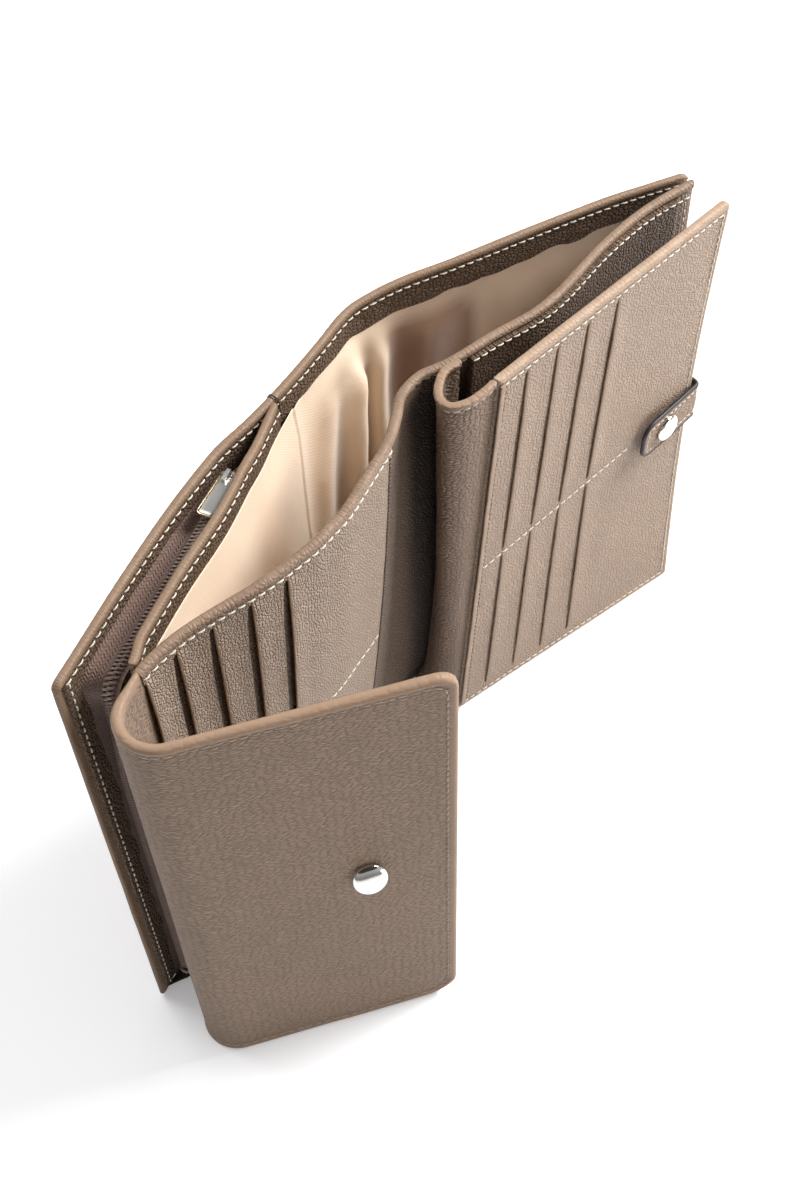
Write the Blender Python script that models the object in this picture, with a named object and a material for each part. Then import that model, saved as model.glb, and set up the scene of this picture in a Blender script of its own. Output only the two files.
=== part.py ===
"""Travel wallet, standing open on its lower edges with the spine upright.

All lengths are in metres. X runs along the open covers, from the zip pocket half (-X) to the page half (+X).
The card slots face -Y and Z is up. The origin is under the middle of the spine leather.
A wall is a cross-section swept along a plan line. The cross-section is a ladder of rungs, each rung two
(offset, height) points, one on either face of the wall. Offsets count towards -Y.
"""

import math
from bisect import bisect_right

import bmesh
import bpy
from mathutils import Matrix, Vector

# Covers and spine
PANEL_HEIGHT = 0.190
HALF_SPAN = 0.131
COVER_SWEEP = 0.0352
LEATHER = 0.0015
GAP = 0.0004
HEM = 0.003
LINING = 0.0005
FACING = 0.0010
FACING_DEPTH = 0.0095
END_FACING = 0.010
RIM_HEIGHT = 0.0028
RIM_ROUND = 0.0008
COVER_CORNER = 0.003
STATION_STEP = 0.0055

# Where the covers, the spine and the middle fold meet, from the spine's middle, and how far short of the
# covers' ends the walls end
SEAM_OUT = 0.036
SPINE_OUT = 0.016
FOLD_LEFT_OUT = 0.0160
FOLD_RIGHT_OUT = 0.0240
WALL_LEFT_STEP = 0.0172
WALL_RIGHT_STEP = 0.0025
INNER_WALL_STEP = 0.0205
INNER_WALL_START = 0.0315

# Pockets
ZIP_GAPE = 0.0138
NOTE_GAPE = 0.031

# Card slots
LEAF = 0.0006
SLOT_PITCH_LEFT = 0.0118
SLOT_PITCH_PAGE = 0.0136
LEFT_BORDER = 0.0005
PAGE_BORDER = 0.0122
LEFT_SLOTS = 5
PAGE_SLOTS = 4
LEAF_TUCK = 0.003
MOUTH_SHUT = 0.0012
MOUTH_OPEN = 0.0020
SLOT_END_MARGIN = 0.0060
SLOT_EASE = 0.005

# Slip pockets on the right wall
SLIP = 0.0007
SLIP_LEAD = 0.0006
SLIP_STEP = 0.0032
SLIP_END_MARGIN = 0.0042

# Page
PAGE_WIDTH = 0.1068
PAGE_BOW = 0.0032
PAGE_ROOT_OUT = 0.0213
PAGE_ROOT_FOOT_OUT = 0.0245
PAGE_STANDOFF = 0.0146
PAGE_FOOT_STANDOFF = 0.0208
PAGE_TURN_IN = math.radians(-1.9)
PAGE_FOOT_TURN_IN = math.radians(-10.6)
PAGE_BACK = 0.0011
PAGE_BOARD = 0.0008
PAGE_CORNER = 0.002
HINGE_LEATHER = 0.0012
HINGE_REACH = 0.0168
HINGE_FOOT_REACH = 0.0040
HINGE_SEAT = 0.0002
HINGE_STATIONS = 24
PAGE_STATIONS = 8

# Flap
FLAP_START_TURN = math.radians(201)
FLAP_LEAD = 0.0085
FLAP_BEND_RADIUS = 0.0100
FLAP_WRAP = math.radians(128)
FLAP_FLAT = 0.0735
FLAP_LEATHER = 0.0011
FLAP_BOARD = 0.0006
FLAP_LINING = 0.0006
FLAP_FOOT_CORNER = 0.011
FLAP_TOP_CORNER = 0.006
FLAP_SNAP_INSET = 0.0265
FLAP_BEND_STATIONS = 18
FLAP_STATIONS = 8

# Strap on the page's free edge
STRAP_WIDTH = 0.015
STRAP_LEATHER = 0.0012
STRAP_REACH = 0.0320
STRAP_ANCHOR = 0.0180
STRAP_HEIGHT = 0.1045
STRAP_CLEARANCE = 0.0005
STRAP_BULGE = 0.0016
STRAP_END_ROUND = 0.003
STRAP_SNAP_INSET = 0.0105
STRAP_BEND_STATIONS = 10
STRAP_STATIONS = 4

# Snap fasteners
CAP_RADIUS = 0.0053
CAP_DOME = 0.0030
CAP_BRIM = 0.0006
SMALL_CAP_RADIUS = 0.0052
SMALL_CAP_DOME = 0.0022
SOCKET_RADIUS = 0.0048
SOCKET_HEIGHT = 0.0019
SOCKET_BORE = 0.0022
SOCKET_EDGE = 0.0007
STUD_BASE_RADIUS = 0.0046
STUD_BASE = 0.0006
STUD_NECK_RADIUS = 0.0013
STUD_BALL_RADIUS = 0.0017
STUD_HEIGHT = 0.0021
STUD_BALL_EDGE = 0.0005
TURN_STEPS = 20

# Zip
CHAIN_WIDTH = 0.0036
CHAIN_THICKNESS = 0.0010
CHAIN_TOOTH = 0.0006
CHAIN_PITCH = 0.0020
CHAIN_SET = 0.0040
CHAIN_DROP = 0.0074
CHAIN_CORNER_STEP = 0.0180
CHAIN_CORNER_RADIUS = 0.006
CHAIN_FOOT = 0.012
TAPE = 0.0005
TAPE_LEAD = 0.0005
TAPE_STATIONS = 18
BEND_STATIONS = 6
TAPE_FOOT = 0.004
FLOOR_LEVEL = 0.004
STOP_LENGTH = 0.0022
SLIDER_LENGTH = 0.0080
SLIDER_WIDTH = 0.0053
SLIDER_PLATE = 0.0008
SLIDER_BRIDGE = 0.0018
SLIDER_BRIDGE_WIDTH = 0.0018
SLIDER_SHOULDER = 0.0012
CROWN_LENGTH = 0.0042
CROWN_WIDTH = 0.0012
CROWN_WALL = 0.0007
CROWN_CLEAR = 0.0017
PULL_LENGTH = 0.0155
PULL_WIDTH = 0.0058
PULL_THICKNESS = 0.0009
PULL_BAR = 0.0010
PULL_SLOT = 0.0036
PULL_SLOT_WIDTH = 0.0024
PULL_TILT = math.radians(3)
PULL_END_STEPS = 8

# Plan lines, as shares of the sizes that they follow
cover_shares = (
    (-1.000, -1.000), (-0.626, -0.490), (-0.389, -0.240), (-0.277, -0.195), (-0.194, -0.150),
    (-0.112, -0.094), (0.000, 0.000), (0.112, 0.094), (0.190, 0.070), (0.272, -0.003),
    (0.388, -0.156), (0.777, -0.642), (1.000, -0.994),
)
zip_gape_shares = (
    (-1.000, 1.000), (-0.870, 1.000), (-0.652, 0.950), (-0.488, 0.920), (-0.344, 0.640),
    (-0.244, 0.290), (-0.170, 0.100), (-0.112, 0.000), (1.000, 0.000),
)
note_gape_shares = (
    (-1.000, 0.000), (-0.870, 0.000), (-0.763, 0.140), (-0.598, 0.500), (-0.489, 0.700), (-0.389, 0.880),
    (-0.282, 0.990), (-0.182, 1.050), (-0.121, 1.060), (-0.053, 0.970), (-0.002, 0.880), (0.068, 0.910),
    (0.113, 1.000), (0.150, 1.040), (0.237, 1.030), (0.426, 0.880), (0.652, 0.460), (0.817, 0.190),
    (0.975, 0.000), (1.000, 0.000),
)
fold_foot_shares = (
    (-1.00, 0.00), (-0.36, 0.00), (-0.14, 0.22), (0.02, 0.27), (0.20, 0.27), (0.36, 0.14), (0.60, 0.00), (1.00, 0.00),
)
lean_shares = ((0.016, 0.00), (0.10, 0.24), (0.28, 0.46), (0.50, 0.67), (0.75, 0.86), (1.00, 1.00))
hinge_shares = (
    (0.00, 0.00), (-0.01, 0.35), (0.03, 0.68), (0.16, 0.93), (0.34, 1.00), (0.55, 0.90),
    (0.74, 0.66), (0.92, 0.44), (0.99, 0.28), (1.00, 0.16), (1.00, 0.02),
)
corner_step_shares = (0.12, 0.4, 1.0)
dome_shares = ((0.82, 0.78), (0.5, 0.95), (0.2, 1.0), (0.0, 1.0))
chain_start_share = 0.3817
FINE_STEP_SHARE = 1e-4
REACH_STEPS = 20
EDGE_SHARE = 0.25
PAGE_AXIS = (0.016, -0.038)

colours = {
    "leather": (0.262, 0.205, 0.150),
    "leather_dark": (0.135, 0.100, 0.070),
    "satin": (0.720, 0.560, 0.430),
    "tape": (0.095, 0.062, 0.050),
    "coil": (0.055, 0.035, 0.032),
    "board": (0.450, 0.400, 0.330),
    "metal": (0.780, 0.770, 0.750),
}


def clear_scene():
    """Remove every object that the file holds."""
    for item in list(bpy.data.objects):
        bpy.data.objects.remove(item, do_unlink=True)


def material_for(name, kind):
    """Give a sub-part its own material of a named kind."""
    material = bpy.data.materials.new(name)
    material.use_nodes = True
    shader = material.node_tree.nodes["Principled BSDF"]
    metal = kind == "metal"
    shader.inputs["Base Color"].default_value = (*colours[kind], 1.0)
    shader.inputs["Roughness"].default_value = 0.22 if metal else 0.35 if kind == "satin" else 0.62
    shader.inputs["Metallic"].default_value = 1.0 if metal else 0.0
    material.diffuse_color = (*colours[kind], 1.0)
    return material


def finish(name, mesh_data, kind, origin=Vector(), parent=None):
    """Turn bmesh data in world space into a named object with its origin at a given point."""
    bmesh.ops.recalc_face_normals(mesh_data, faces=mesh_data.faces)
    bmesh.ops.translate(mesh_data, verts=mesh_data.verts, vec=-origin)
    mesh = bpy.data.meshes.new(name)
    mesh_data.to_mesh(mesh)
    mesh_data.free()
    mesh.shade_smooth()
    mesh.set_sharp_from_angle(angle=math.radians(40))
    item = bpy.data.objects.new(name, mesh)
    item.data.materials.append(material_for(name, kind))
    bpy.context.scene.collection.objects.link(item)
    item.location = origin
    if parent:
        item.parent = parent
        item.location = origin - parent.location
    return item


def axis_empty(name, place):
    """An empty that stands on a joint's axis and carries the pieces that turn with it."""
    empty = bpy.data.objects.new(name, None)
    empty.location = place
    bpy.context.scene.collection.objects.link(empty)
    return empty


def graph(shares, along, across):
    """A smooth function through points given as shares of two sizes."""
    knots = [(x * along, y * across) for x, y in shares]
    slopes = []
    for index in range(len(knots)):
        before, after = knots[max(index - 1, 0)], knots[min(index + 1, len(knots) - 1)]
        slopes.append((after[1] - before[1]) / (after[0] - before[0]))
    places = [knot[0] for knot in knots]

    def value(place):
        index = min(max(bisect_right(places, place) - 1, 0), len(knots) - 2)
        (x0, y0), (x1, y1) = knots[index], knots[index + 1]
        width = x1 - x0
        t = min(max((place - x0) / width, 0.0), 1.0)
        rise = y0 * (1 + 2 * t) * (1 - t) ** 2 + y1 * t * t * (3 - 2 * t)
        return rise + width * (slopes[index] * t * (1 - t) ** 2 - slopes[index + 1] * t * t * (1 - t))

    return value


cover_y = graph(cover_shares, HALF_SPAN, COVER_SWEEP)
zip_gape = graph(zip_gape_shares, HALF_SPAN, ZIP_GAPE)
note_gape = graph(note_gape_shares, HALF_SPAN, NOTE_GAPE)
fold_foot = graph(fold_foot_shares, HALF_SPAN, 1)
hinge_depth = graph([(i / (len(hinge_shares) - 1), row[0]) for i, row in enumerate(hinge_shares)], 1, 1)
hinge_out = graph([(i / (len(hinge_shares) - 1), row[1]) for i, row in enumerate(hinge_shares)], 1, 1)
WALL_LEFT_END = HALF_SPAN - WALL_LEFT_STEP
WALL_RIGHT_END = HALF_SPAN - WALL_RIGHT_STEP
INNER_WALL_END = HALF_SPAN - INNER_WALL_STEP
CHAIN_START_OUT = HALF_SPAN * chain_start_share
CHAIN_CORNER_OUT = HALF_SPAN - CHAIN_CORNER_STEP
TAPE_START_OUT = CHAIN_START_OUT - TAPE_LEAD
HEAD = LEATHER / 2 + GAP + FACING
WALL_STACK = 2 * HEAD + 2 * GAP
PAGE_RIM = PAGE_BACK + GAP + PAGE_BOARD + GAP + LEAF
PAGE_FRONT = PAGE_RIM / 2 - LEAF
FLAP_RIM = FLAP_LEATHER + GAP + FLAP_BOARD + GAP + FLAP_LINING


def lean(height):
    """How far a card wall has opened at a height, as a share of its opening at the rim."""
    share = height / PANEL_HEIGHT
    for (low, start), (high, end) in zip(lean_shares, lean_shares[1:]):
        if share <= high:
            return start + (end - start) * max(share - low, 0.0) / (high - low)
    return 1.0


def cover_line(x, height):
    return Vector((x, cover_y(x), height))


def inner_line(x, height):
    return Vector((x, cover_y(x) - zip_gape(x), height))


def front_line(x, height):
    """The card wall's middle: open at the rim, and kept off the cover at the foot of the fold."""
    opened = lean(height) + (1 - lean(height)) * fold_foot(x)
    return Vector((x, cover_y(x) - zip_gape(x) - WALL_STACK - note_gape(x) * opened, height))


def page_root(height):
    """The page's inner edge, which leans back towards the foot of its wall."""
    share = height / PANEL_HEIGHT
    rim = front_line(PAGE_ROOT_OUT, PANEL_HEIGHT) - Vector((0, PAGE_STANDOFF, 0))
    foot = front_line(PAGE_ROOT_FOOT_OUT, 0) - Vector((0, PAGE_FOOT_STANDOFF, 0))
    return foot.lerp(rim, share)


def page_line(run, height):
    """The page's middle, which bows back at mid height towards its free edge."""
    share = height / PANEL_HEIGHT
    turn = PAGE_FOOT_TURN_IN + (PAGE_TURN_IN - PAGE_FOOT_TURN_IN) * share
    bow = PAGE_BOW * run / PAGE_WIDTH * math.sin(math.pi * share)
    return page_root(height) + run * Vector((math.cos(turn), math.sin(turn), 0)) + Vector((0, bow, 0))


def hinge_line(share, height):
    """The rolled leather from the page's inner edge round to its anchor seam on the right wall."""
    root = page_root(height)
    rise = height / PANEL_HEIGHT
    reach = HINGE_FOOT_REACH + (HINGE_REACH - HINGE_FOOT_REACH) * rise
    out = hinge_out(share)
    x = root.x - GAP - (reach if out > 0 else HINGE_REACH) * out
    seat = front_line(x, height).y - LEATHER / 2 - GAP - HINGE_LEATHER / 2 - HINGE_SEAT
    return Vector((x, root.y + (seat - root.y) * hinge_depth(share), height))


def flap_line(run, height):
    """From the pocket's end, out and round the bend, and along the flat of the flap."""
    place = front_line(-WALL_LEFT_END, PANEL_HEIGHT)
    turn = FLAP_START_TURN
    straight = min(run, FLAP_LEAD)
    place = place + straight * Vector((math.cos(turn), math.sin(turn), 0))
    swept = min(max(run - FLAP_LEAD, 0) / FLAP_BEND_RADIUS, FLAP_WRAP)
    centre = place + FLAP_BEND_RADIUS * Vector((-math.sin(turn), math.cos(turn), 0))
    place = centre + FLAP_BEND_RADIUS * Vector((math.sin(turn + swept), -math.cos(turn + swept), 0))
    rest = max(run - FLAP_LEAD - FLAP_BEND_RADIUS * FLAP_WRAP, 0)
    turn = FLAP_START_TURN + FLAP_WRAP
    place = place + rest * Vector((math.cos(turn), math.sin(turn), 0))
    return Vector((place.x, place.y, height))


def outward(line, key, height):
    """The level direction square to a plan line, towards positive offsets."""
    step = FINE_STEP_SHARE * (1.0 if line is hinge_line else HALF_SPAN)
    along = line(key + step, height) - line(key - step, height)
    return Vector((along.y, -along.x, 0)).normalized()


def spot(line, key, offset, height):
    return line(key, height) + offset * outward(line, key, height)


def spread(start, end, count, corner=0.0):
    """Stations from start to end, with extra ones on a rounded corner at the end."""
    keys = [start + (end - start) * i / count for i in range(count + 1)]
    if corner:
        keys += [end - corner * share for share in corner_step_shares]
    return sorted(set(keys))


def gridded(start, end, corner_start=0.0, corner_end=0.0):
    """Stations from start to end on the grid that every layer of a curved wall shares."""
    first, last = math.ceil(start / STATION_STEP), math.floor(end / STATION_STEP)
    keys = [start, end] + [step * STATION_STEP for step in range(first, last + 1)]
    keys += [start + corner_start * share for share in corner_step_shares if corner_start]
    keys += [end - corner_end * share for share in corner_step_shares if corner_end]
    ordered = sorted(keys)
    return [key for key, after in zip(ordered, ordered[1:] + [math.inf]) if after - key > GAP * EDGE_SHARE]


def rounded(section, start, end, top=(0.0, 0.0), foot=(0.0, 0.0)):
    """Draw a cross-section in at the corners of a panel. top and foot hold the radii at start and at end."""
    def drop(radii, key):
        deepest = 0.0
        for radius, away in ((radii[0], key - start), (radii[1], end - key)):
            if radius and away < radius:
                inward = max(radius - max(away, 0.0), 0.0)
                deepest = max(deepest, radius - math.sqrt(max(radius ** 2 - inward ** 2, 0.0)))
        return deepest

    def drawn(key):
        down, up = drop(top, key), drop(foot, key)
        middle = PANEL_HEIGHT / 2
        return [
            tuple((offset, height - down if height > middle else height + up) for offset, height in rung)
            for rung in section(key)
        ]

    return drawn


def sweep(name, line, section, keys, kind, parent=None, origin=Vector()):
    """Skin a closed solid over a ladder of rungs placed at each station of a plan line."""
    data = bmesh.new()
    rings = []
    for key in keys:
        rungs = section(key)
        ring = [rung[0] for rung in rungs] + [rung[1] for rung in reversed(rungs)]
        rings.append([data.verts.new(spot(line, key, offset, height)) for offset, height in ring])
    count = len(rings[0])
    for near, far in zip(rings, rings[1:]):
        for index in range(count):
            after = (index + 1) % count
            data.faces.new((near[index], near[after], far[after], far[index]))
    for ring in (rings[0], list(reversed(rings[-1]))):
        for index in range(count // 2 - 1):
            data.faces.new((ring[index], ring[index + 1], ring[-index - 2], ring[-index - 1]))
    return finish(name, data, kind, origin, parent)


def slab(near, far, low, high, levels=()):
    """A plain upright cross-section between two offsets, with rungs at the given levels."""
    rows = [low, *[level for level in levels if low < level < high], high]
    rungs = [((near, row), (far, row)) for row in rows]
    return lambda key: rungs


def rimmed(inner, levels=()):
    """Leather whose rolled rim stands over a facing. inner is +1 for a facing in front, -1 for one behind."""
    back, face, head, top = -inner * LEATHER / 2, inner * LEATHER / 2, inner * HEAD, PANEL_HEIGHT
    trim, under = inner * RIM_ROUND * EDGE_SHARE, PANEL_HEIGHT - RIM_HEIGHT
    rows = [0.0, *[level for level in levels if level < under], under]
    rungs = [((back, row), (face, row)) for row in rows]
    rungs += [
        ((back, under + RIM_ROUND * EDGE_SHARE), (head, under)),
        ((back, top - RIM_ROUND), (head, top - RIM_ROUND)),
        ((back + trim, top), (head - trim, top)),
    ]
    return lambda key: rungs


def channel(near, far, wall, low, high, rim, levels=()):
    """A back leather with turned edges along its foot and its rim, open towards the far offset."""
    rows = [level for level in levels if low + rim < level < high - rim]
    inside = near + wall
    rungs = [((far, low), (far, low + rim)), ((near, low), (inside, low + rim))]
    rungs += [((near, row), (inside, row)) for row in rows]
    rungs += [((near, high), (inside, high - rim)), ((far, high), (far, high - rim))]
    return lambda key: rungs


LEAN_LEVELS = [share * PANEL_HEIGHT for share, opening in lean_shares[:-1]]
PAGE_LEVELS = sorted([*LEAN_LEVELS, STRAP_HEIGHT])
FACING_TOP = PANEL_HEIGHT - RIM_HEIGHT - GAP
LINING_TOP = FACING_TOP - FACING_DEPTH - GAP


def lining(name, line, side, keys, levels=(), parent=None):
    """Satin on one side of a wall, from the hem to the facing."""
    near = side * (LEATHER / 2 + GAP)
    far = near + side * LINING
    return sweep(name, line, slab(near, far, HEM, LINING_TOP, levels), keys, "satin", parent)


def facing(name, line, side, keys, parent=None):
    """The leather strip under a rolled rim."""
    near = side * (LEATHER / 2 + GAP)
    section = slab(near, near + side * FACING, FACING_TOP - FACING_DEPTH, FACING_TOP)
    return sweep(name, line, section, keys, "leather_dark", parent)


def leaf(name, line, start, end, base, reach, mouthed, parent=None, low=HEM, high=FACING_TOP, kinks=()):
    """One card leaf: its left edge is a mouth that gapes between the seams, its right end tucks under."""
    middle = PANEL_HEIGHT / 2
    shut = [low, SLOT_END_MARGIN, middle, PANEL_HEIGHT - SLOT_END_MARGIN, high]
    slack = [SLOT_END_MARGIN + SLOT_EASE, middle - SLOT_EASE, middle + SLOT_EASE]
    slack.append(PANEL_HEIGHT - SLOT_END_MARGIN - SLOT_EASE)
    rows = sorted(shut + slack + [k for k in kinks if low < k < high and k not in shut])

    def lift(height):
        return MOUTH_SHUT if height in shut else MOUTH_OPEN

    def section(key):
        fall = max(0.0, 1.0 - (key - start) / reach) if mouthed else 0.0
        seats = [(base + lift(row) * fall, row) for row in rows]
        return [((seat, row), (seat + LEAF, row)) for seat, row in seats]

    keys = gridded(start, end) if line is front_line else spread(start, end, max(2, round((end - start) / reach * 2)))
    return sweep(name, line, section, keys, "leather", parent)


def card_leaves(prefix, line, start, end, border, pitch, slots, base, parent=None, **rows):
    """A border strip and one leaf for each slot, each tucked under the next, the last one wide."""
    mouths = [start + border + pitch * i for i in range(slots)]
    reach = pitch + LEAF_TUCK
    strip_end = mouths[0] + LEAF_TUCK
    leaf(f"{prefix}_1", line, start, strip_end, base, reach, False, parent, **rows)
    for number, mouth in enumerate(mouths):
        last = number == slots - 1
        stop = end if last else mouth + reach
        leaf(f"{prefix}_{number + 2}", line, mouth, stop, base, reach, True, parent, **rows)


def build_left_leaf():
    """The zip pocket's inner wall, the card wall and its leaves."""
    inner = gridded(-INNER_WALL_END, -INNER_WALL_START)
    sweep("pocket_inner_wall", inner_line, rimmed(1), inner, "leather")
    back = gridded(-INNER_WALL_END + HEM, -INNER_WALL_START - GAP)
    lining("note_lining_back_left", inner_line, 1, back)
    facing("note_facing_back_left", inner_line, 1, back)
    wall = gridded(-WALL_LEFT_END, -FOLD_LEFT_OUT)
    sweep("card_wall_left", front_line, rimmed(-1, LEAN_LEVELS), wall, "leather")
    front = gridded(-WALL_LEFT_END + HEM, -FOLD_LEFT_OUT - GAP)
    lining("note_lining_front_left", front_line, -1, front, LEAN_LEVELS)
    card_leaves(
        "card_leaf_left", front_line, -WALL_LEFT_END + LEFT_BORDER * EDGE_SHARE, -FOLD_LEFT_OUT - GAP,
        LEFT_BORDER, SLOT_PITCH_LEFT, LEFT_SLOTS, LEATHER / 2 + GAP, kinks=LEAN_LEVELS,
    )


def build_spine():
    """The leather and linings that bend when the halves close."""
    outer = gridded(-SEAM_OUT + GAP, SPINE_OUT - GAP)
    sweep("cover_spine", cover_line, rimmed(1), outer, "leather")
    back = gridded(-INNER_WALL_START + GAP, SPINE_OUT - GAP)
    lining("note_lining_spine", cover_line, 1, back)
    facing("note_facing_spine", cover_line, 1, back)
    fold = gridded(-FOLD_LEFT_OUT + GAP, FOLD_RIGHT_OUT - GAP)
    sweep("front_fold", front_line, rimmed(-1, LEAN_LEVELS), fold, "leather")
    lining("front_fold_lining", front_line, -1, fold, LEAN_LEVELS)


def build_pocket_cover():
    """The cover of the zip pocket, its facing along the rim and down its end, and its lining."""
    start, end = -HALF_SPAN, -SEAM_OUT
    keys = gridded(start, end, COVER_CORNER)
    section = rounded(rimmed(1), start, end + HALF_SPAN, (COVER_CORNER, 0), (COVER_CORNER, 0))
    sweep("cover_left", cover_line, section, keys, "leather")
    near = LEATHER / 2 + GAP

    def edge(key):
        low = COVER_CORNER if key <= start + END_FACING else FACING_TOP - FACING_DEPTH
        return slab(near, near + FACING, low, FACING_TOP)(key)

    keys = gridded(start + COVER_CORNER, start + END_FACING) + gridded(start + END_FACING + GAP, end - GAP)
    sweep("pocket_facing", cover_line, edge, keys, "leather_dark")
    lined = gridded(start + END_FACING + 2 * GAP, end - GAP)
    lining("pocket_lining", cover_line, 1, lined)


def build_right_leaf():
    """The right cover, its card wall and the two slip pockets."""
    start, end = SPINE_OUT, HALF_SPAN
    section = rounded(rimmed(1), start - HALF_SPAN, end, (0, COVER_CORNER), (0, COVER_CORNER))
    sweep("cover_right", cover_line, section, gridded(start, end, 0, COVER_CORNER), "leather")
    back = gridded(SPINE_OUT + GAP, WALL_RIGHT_END - HEM)
    lining("note_lining_back_right", cover_line, 1, back)
    facing("note_facing_back_right", cover_line, 1, back)
    wall = gridded(FOLD_RIGHT_OUT, WALL_RIGHT_END)
    sweep("card_wall_right", front_line, rimmed(-1, LEAN_LEVELS), wall, "leather")
    front = gridded(FOLD_RIGHT_OUT + GAP, WALL_RIGHT_END - HEM)
    lining("note_lining_front_right", front_line, -1, front, LEAN_LEVELS)
    near = LEATHER / 2 + GAP
    for number in (1, 2):
        stop = WALL_RIGHT_END - SLIP_END_MARGIN - SLIP_STEP * (number - 1)
        section = slab(near, near + SLIP, HEM, FACING_TOP, LEAN_LEVELS)
        sweep(f"slip_pocket_{number}", front_line, section, gridded(PAGE_ROOT_FOOT_OUT + SLIP_LEAD, stop), "leather")
        near += SLIP + GAP


def build_page(turning):
    """The stiffened page, its card leaves and the rolled leather that hinges it."""
    keys = spread(0, PAGE_WIDTH, PAGE_STATIONS, PAGE_CORNER)
    back, corners = -PAGE_RIM / 2, (0, PAGE_CORNER)
    section = channel(back, PAGE_RIM / 2, PAGE_BACK, 0, PANEL_HEIGHT, RIM_HEIGHT, PAGE_LEVELS)
    sweep("page_back", page_line, rounded(section, -PAGE_WIDTH, PAGE_WIDTH, corners, corners), keys,
          "leather", turning)
    low, high = RIM_HEIGHT + GAP, PANEL_HEIGHT - RIM_HEIGHT - GAP
    layer = back + PAGE_BACK + GAP
    board = slab(layer, layer + PAGE_BOARD, low, high, PAGE_LEVELS)
    sweep("page_board", page_line, board, spread(HEM, PAGE_WIDTH - HEM, PAGE_STATIONS), "board", turning)
    card_leaves(
        "page_leaf", page_line, GAP, PAGE_WIDTH - PAGE_CORNER, PAGE_BORDER, SLOT_PITCH_PAGE, PAGE_SLOTS,
        PAGE_FRONT, turning, low=low, high=high, kinks=PAGE_LEVELS,
    )
    half = HINGE_LEATHER / 2
    section = slab(-half, half, 0, PANEL_HEIGHT, PAGE_LEVELS)
    sweep("page_hinge", hinge_line, section, spread(0, 1, HINGE_STATIONS), "leather", turning)


def build_flap(turning):
    """The bend of leather at the pocket's end and the stiffened flap that closes over the wallet."""
    bend_end = FLAP_LEAD + FLAP_BEND_RADIUS * FLAP_WRAP
    full = bend_end + FLAP_FLAT
    half = FLAP_RIM / 2
    bend = slab(-half, half, 0, PANEL_HEIGHT)
    sweep("flap_bend", flap_line, bend, spread(GAP, bend_end - GAP, FLAP_BEND_STATIONS), "leather", turning)
    tops, feet = (0, FLAP_TOP_CORNER), (0, FLAP_FOOT_CORNER)

    flap_section = channel(half, -half, -FLAP_LEATHER, 0, PANEL_HEIGHT, RIM_HEIGHT)
    keys = spread(bend_end, full, FLAP_STATIONS, FLAP_FOOT_CORNER)
    sweep("flap_outer", flap_line, rounded(flap_section, bend_end - full, full, tops, feet), keys,
          "leather", turning)
    low, high = RIM_HEIGHT + GAP, PANEL_HEIGHT - RIM_HEIGHT - GAP
    inner_keys = spread(bend_end, full - HEM, FLAP_STATIONS, FLAP_FOOT_CORNER)
    layer = half - FLAP_LEATHER - GAP
    board = rounded(slab(layer, layer - FLAP_BOARD, low, high), bend_end - full, full - HEM, tops, feet)
    sweep("flap_board", flap_line, board, inner_keys, "board", turning)
    layer -= FLAP_BOARD + GAP
    inside = rounded(slab(layer, layer - FLAP_LINING, low, high), bend_end - full, full - HEM, tops, feet)
    sweep("flap_lining", flap_line, inside, inner_keys, "leather", turning)


def turned(name, profile, seat, towards, kind, parent=None):
    """Spin a profile of (radius, height) pairs round an axis that leaves its seat square."""
    data = bmesh.new()
    rows = []
    for step in range(TURN_STEPS):
        angle = 2 * math.pi * step / TURN_STEPS
        spin = Vector((math.cos(angle), math.sin(angle), 0))
        rows.append([data.verts.new(r * spin + Vector((0, 0, h))) for r, h in profile if r > 0])
    poles = [h for r, h in profile if r == 0]
    for row, following in zip(rows, rows[1:] + rows[:1]):
        for index in range(len(row) - 1):
            data.faces.new((row[index], row[index + 1], following[index + 1], following[index]))
        if not poles:
            data.faces.new((row[-1], row[0], following[0], following[-1]))
    if poles:
        data.faces.new([row[0] for row in rows])
        data.faces.new([row[-1] for row in reversed(rows)])
    facing_way = towards.to_track_quat("Z", "Y").to_matrix().to_4x4()
    bmesh.ops.transform(data, matrix=Matrix.Translation(seat) @ facing_way, verts=data.verts)
    return finish(name, data, kind, seat, parent)


def snap_cap(name, radius, top, seat, towards, parent):
    dome = [(radius * out, top * rise) for out, rise in dome_shares]
    profile = [(0, 0), (radius - CAP_BRIM, 0), (radius, CAP_BRIM / 2), (radius, CAP_BRIM), *dome]
    return turned(name, profile, seat, towards, "metal", parent)


def snap_socket(name, seat, towards, parent):
    profile = [
        (SOCKET_BORE, 0), (SOCKET_RADIUS, 0), (SOCKET_RADIUS, SOCKET_HEIGHT - SOCKET_EDGE),
        (SOCKET_RADIUS - SOCKET_EDGE, SOCKET_HEIGHT), (SOCKET_BORE, SOCKET_HEIGHT),
    ]
    return turned(name, profile, seat, towards, "metal", parent)


def snap_stud(name, seat, towards, parent):
    profile = [
        (0, 0), (STUD_BASE_RADIUS, 0), (STUD_BASE_RADIUS, STUD_BASE), (STUD_NECK_RADIUS, STUD_BASE),
        (STUD_NECK_RADIUS, STUD_HEIGHT / 2), (STUD_BALL_RADIUS, STUD_HEIGHT - STUD_BALL_EDGE),
        (STUD_BALL_RADIUS - STUD_BALL_EDGE, STUD_HEIGHT), (0, STUD_HEIGHT),
    ]
    return turned(name, profile, seat, towards, "metal", parent)


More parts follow.
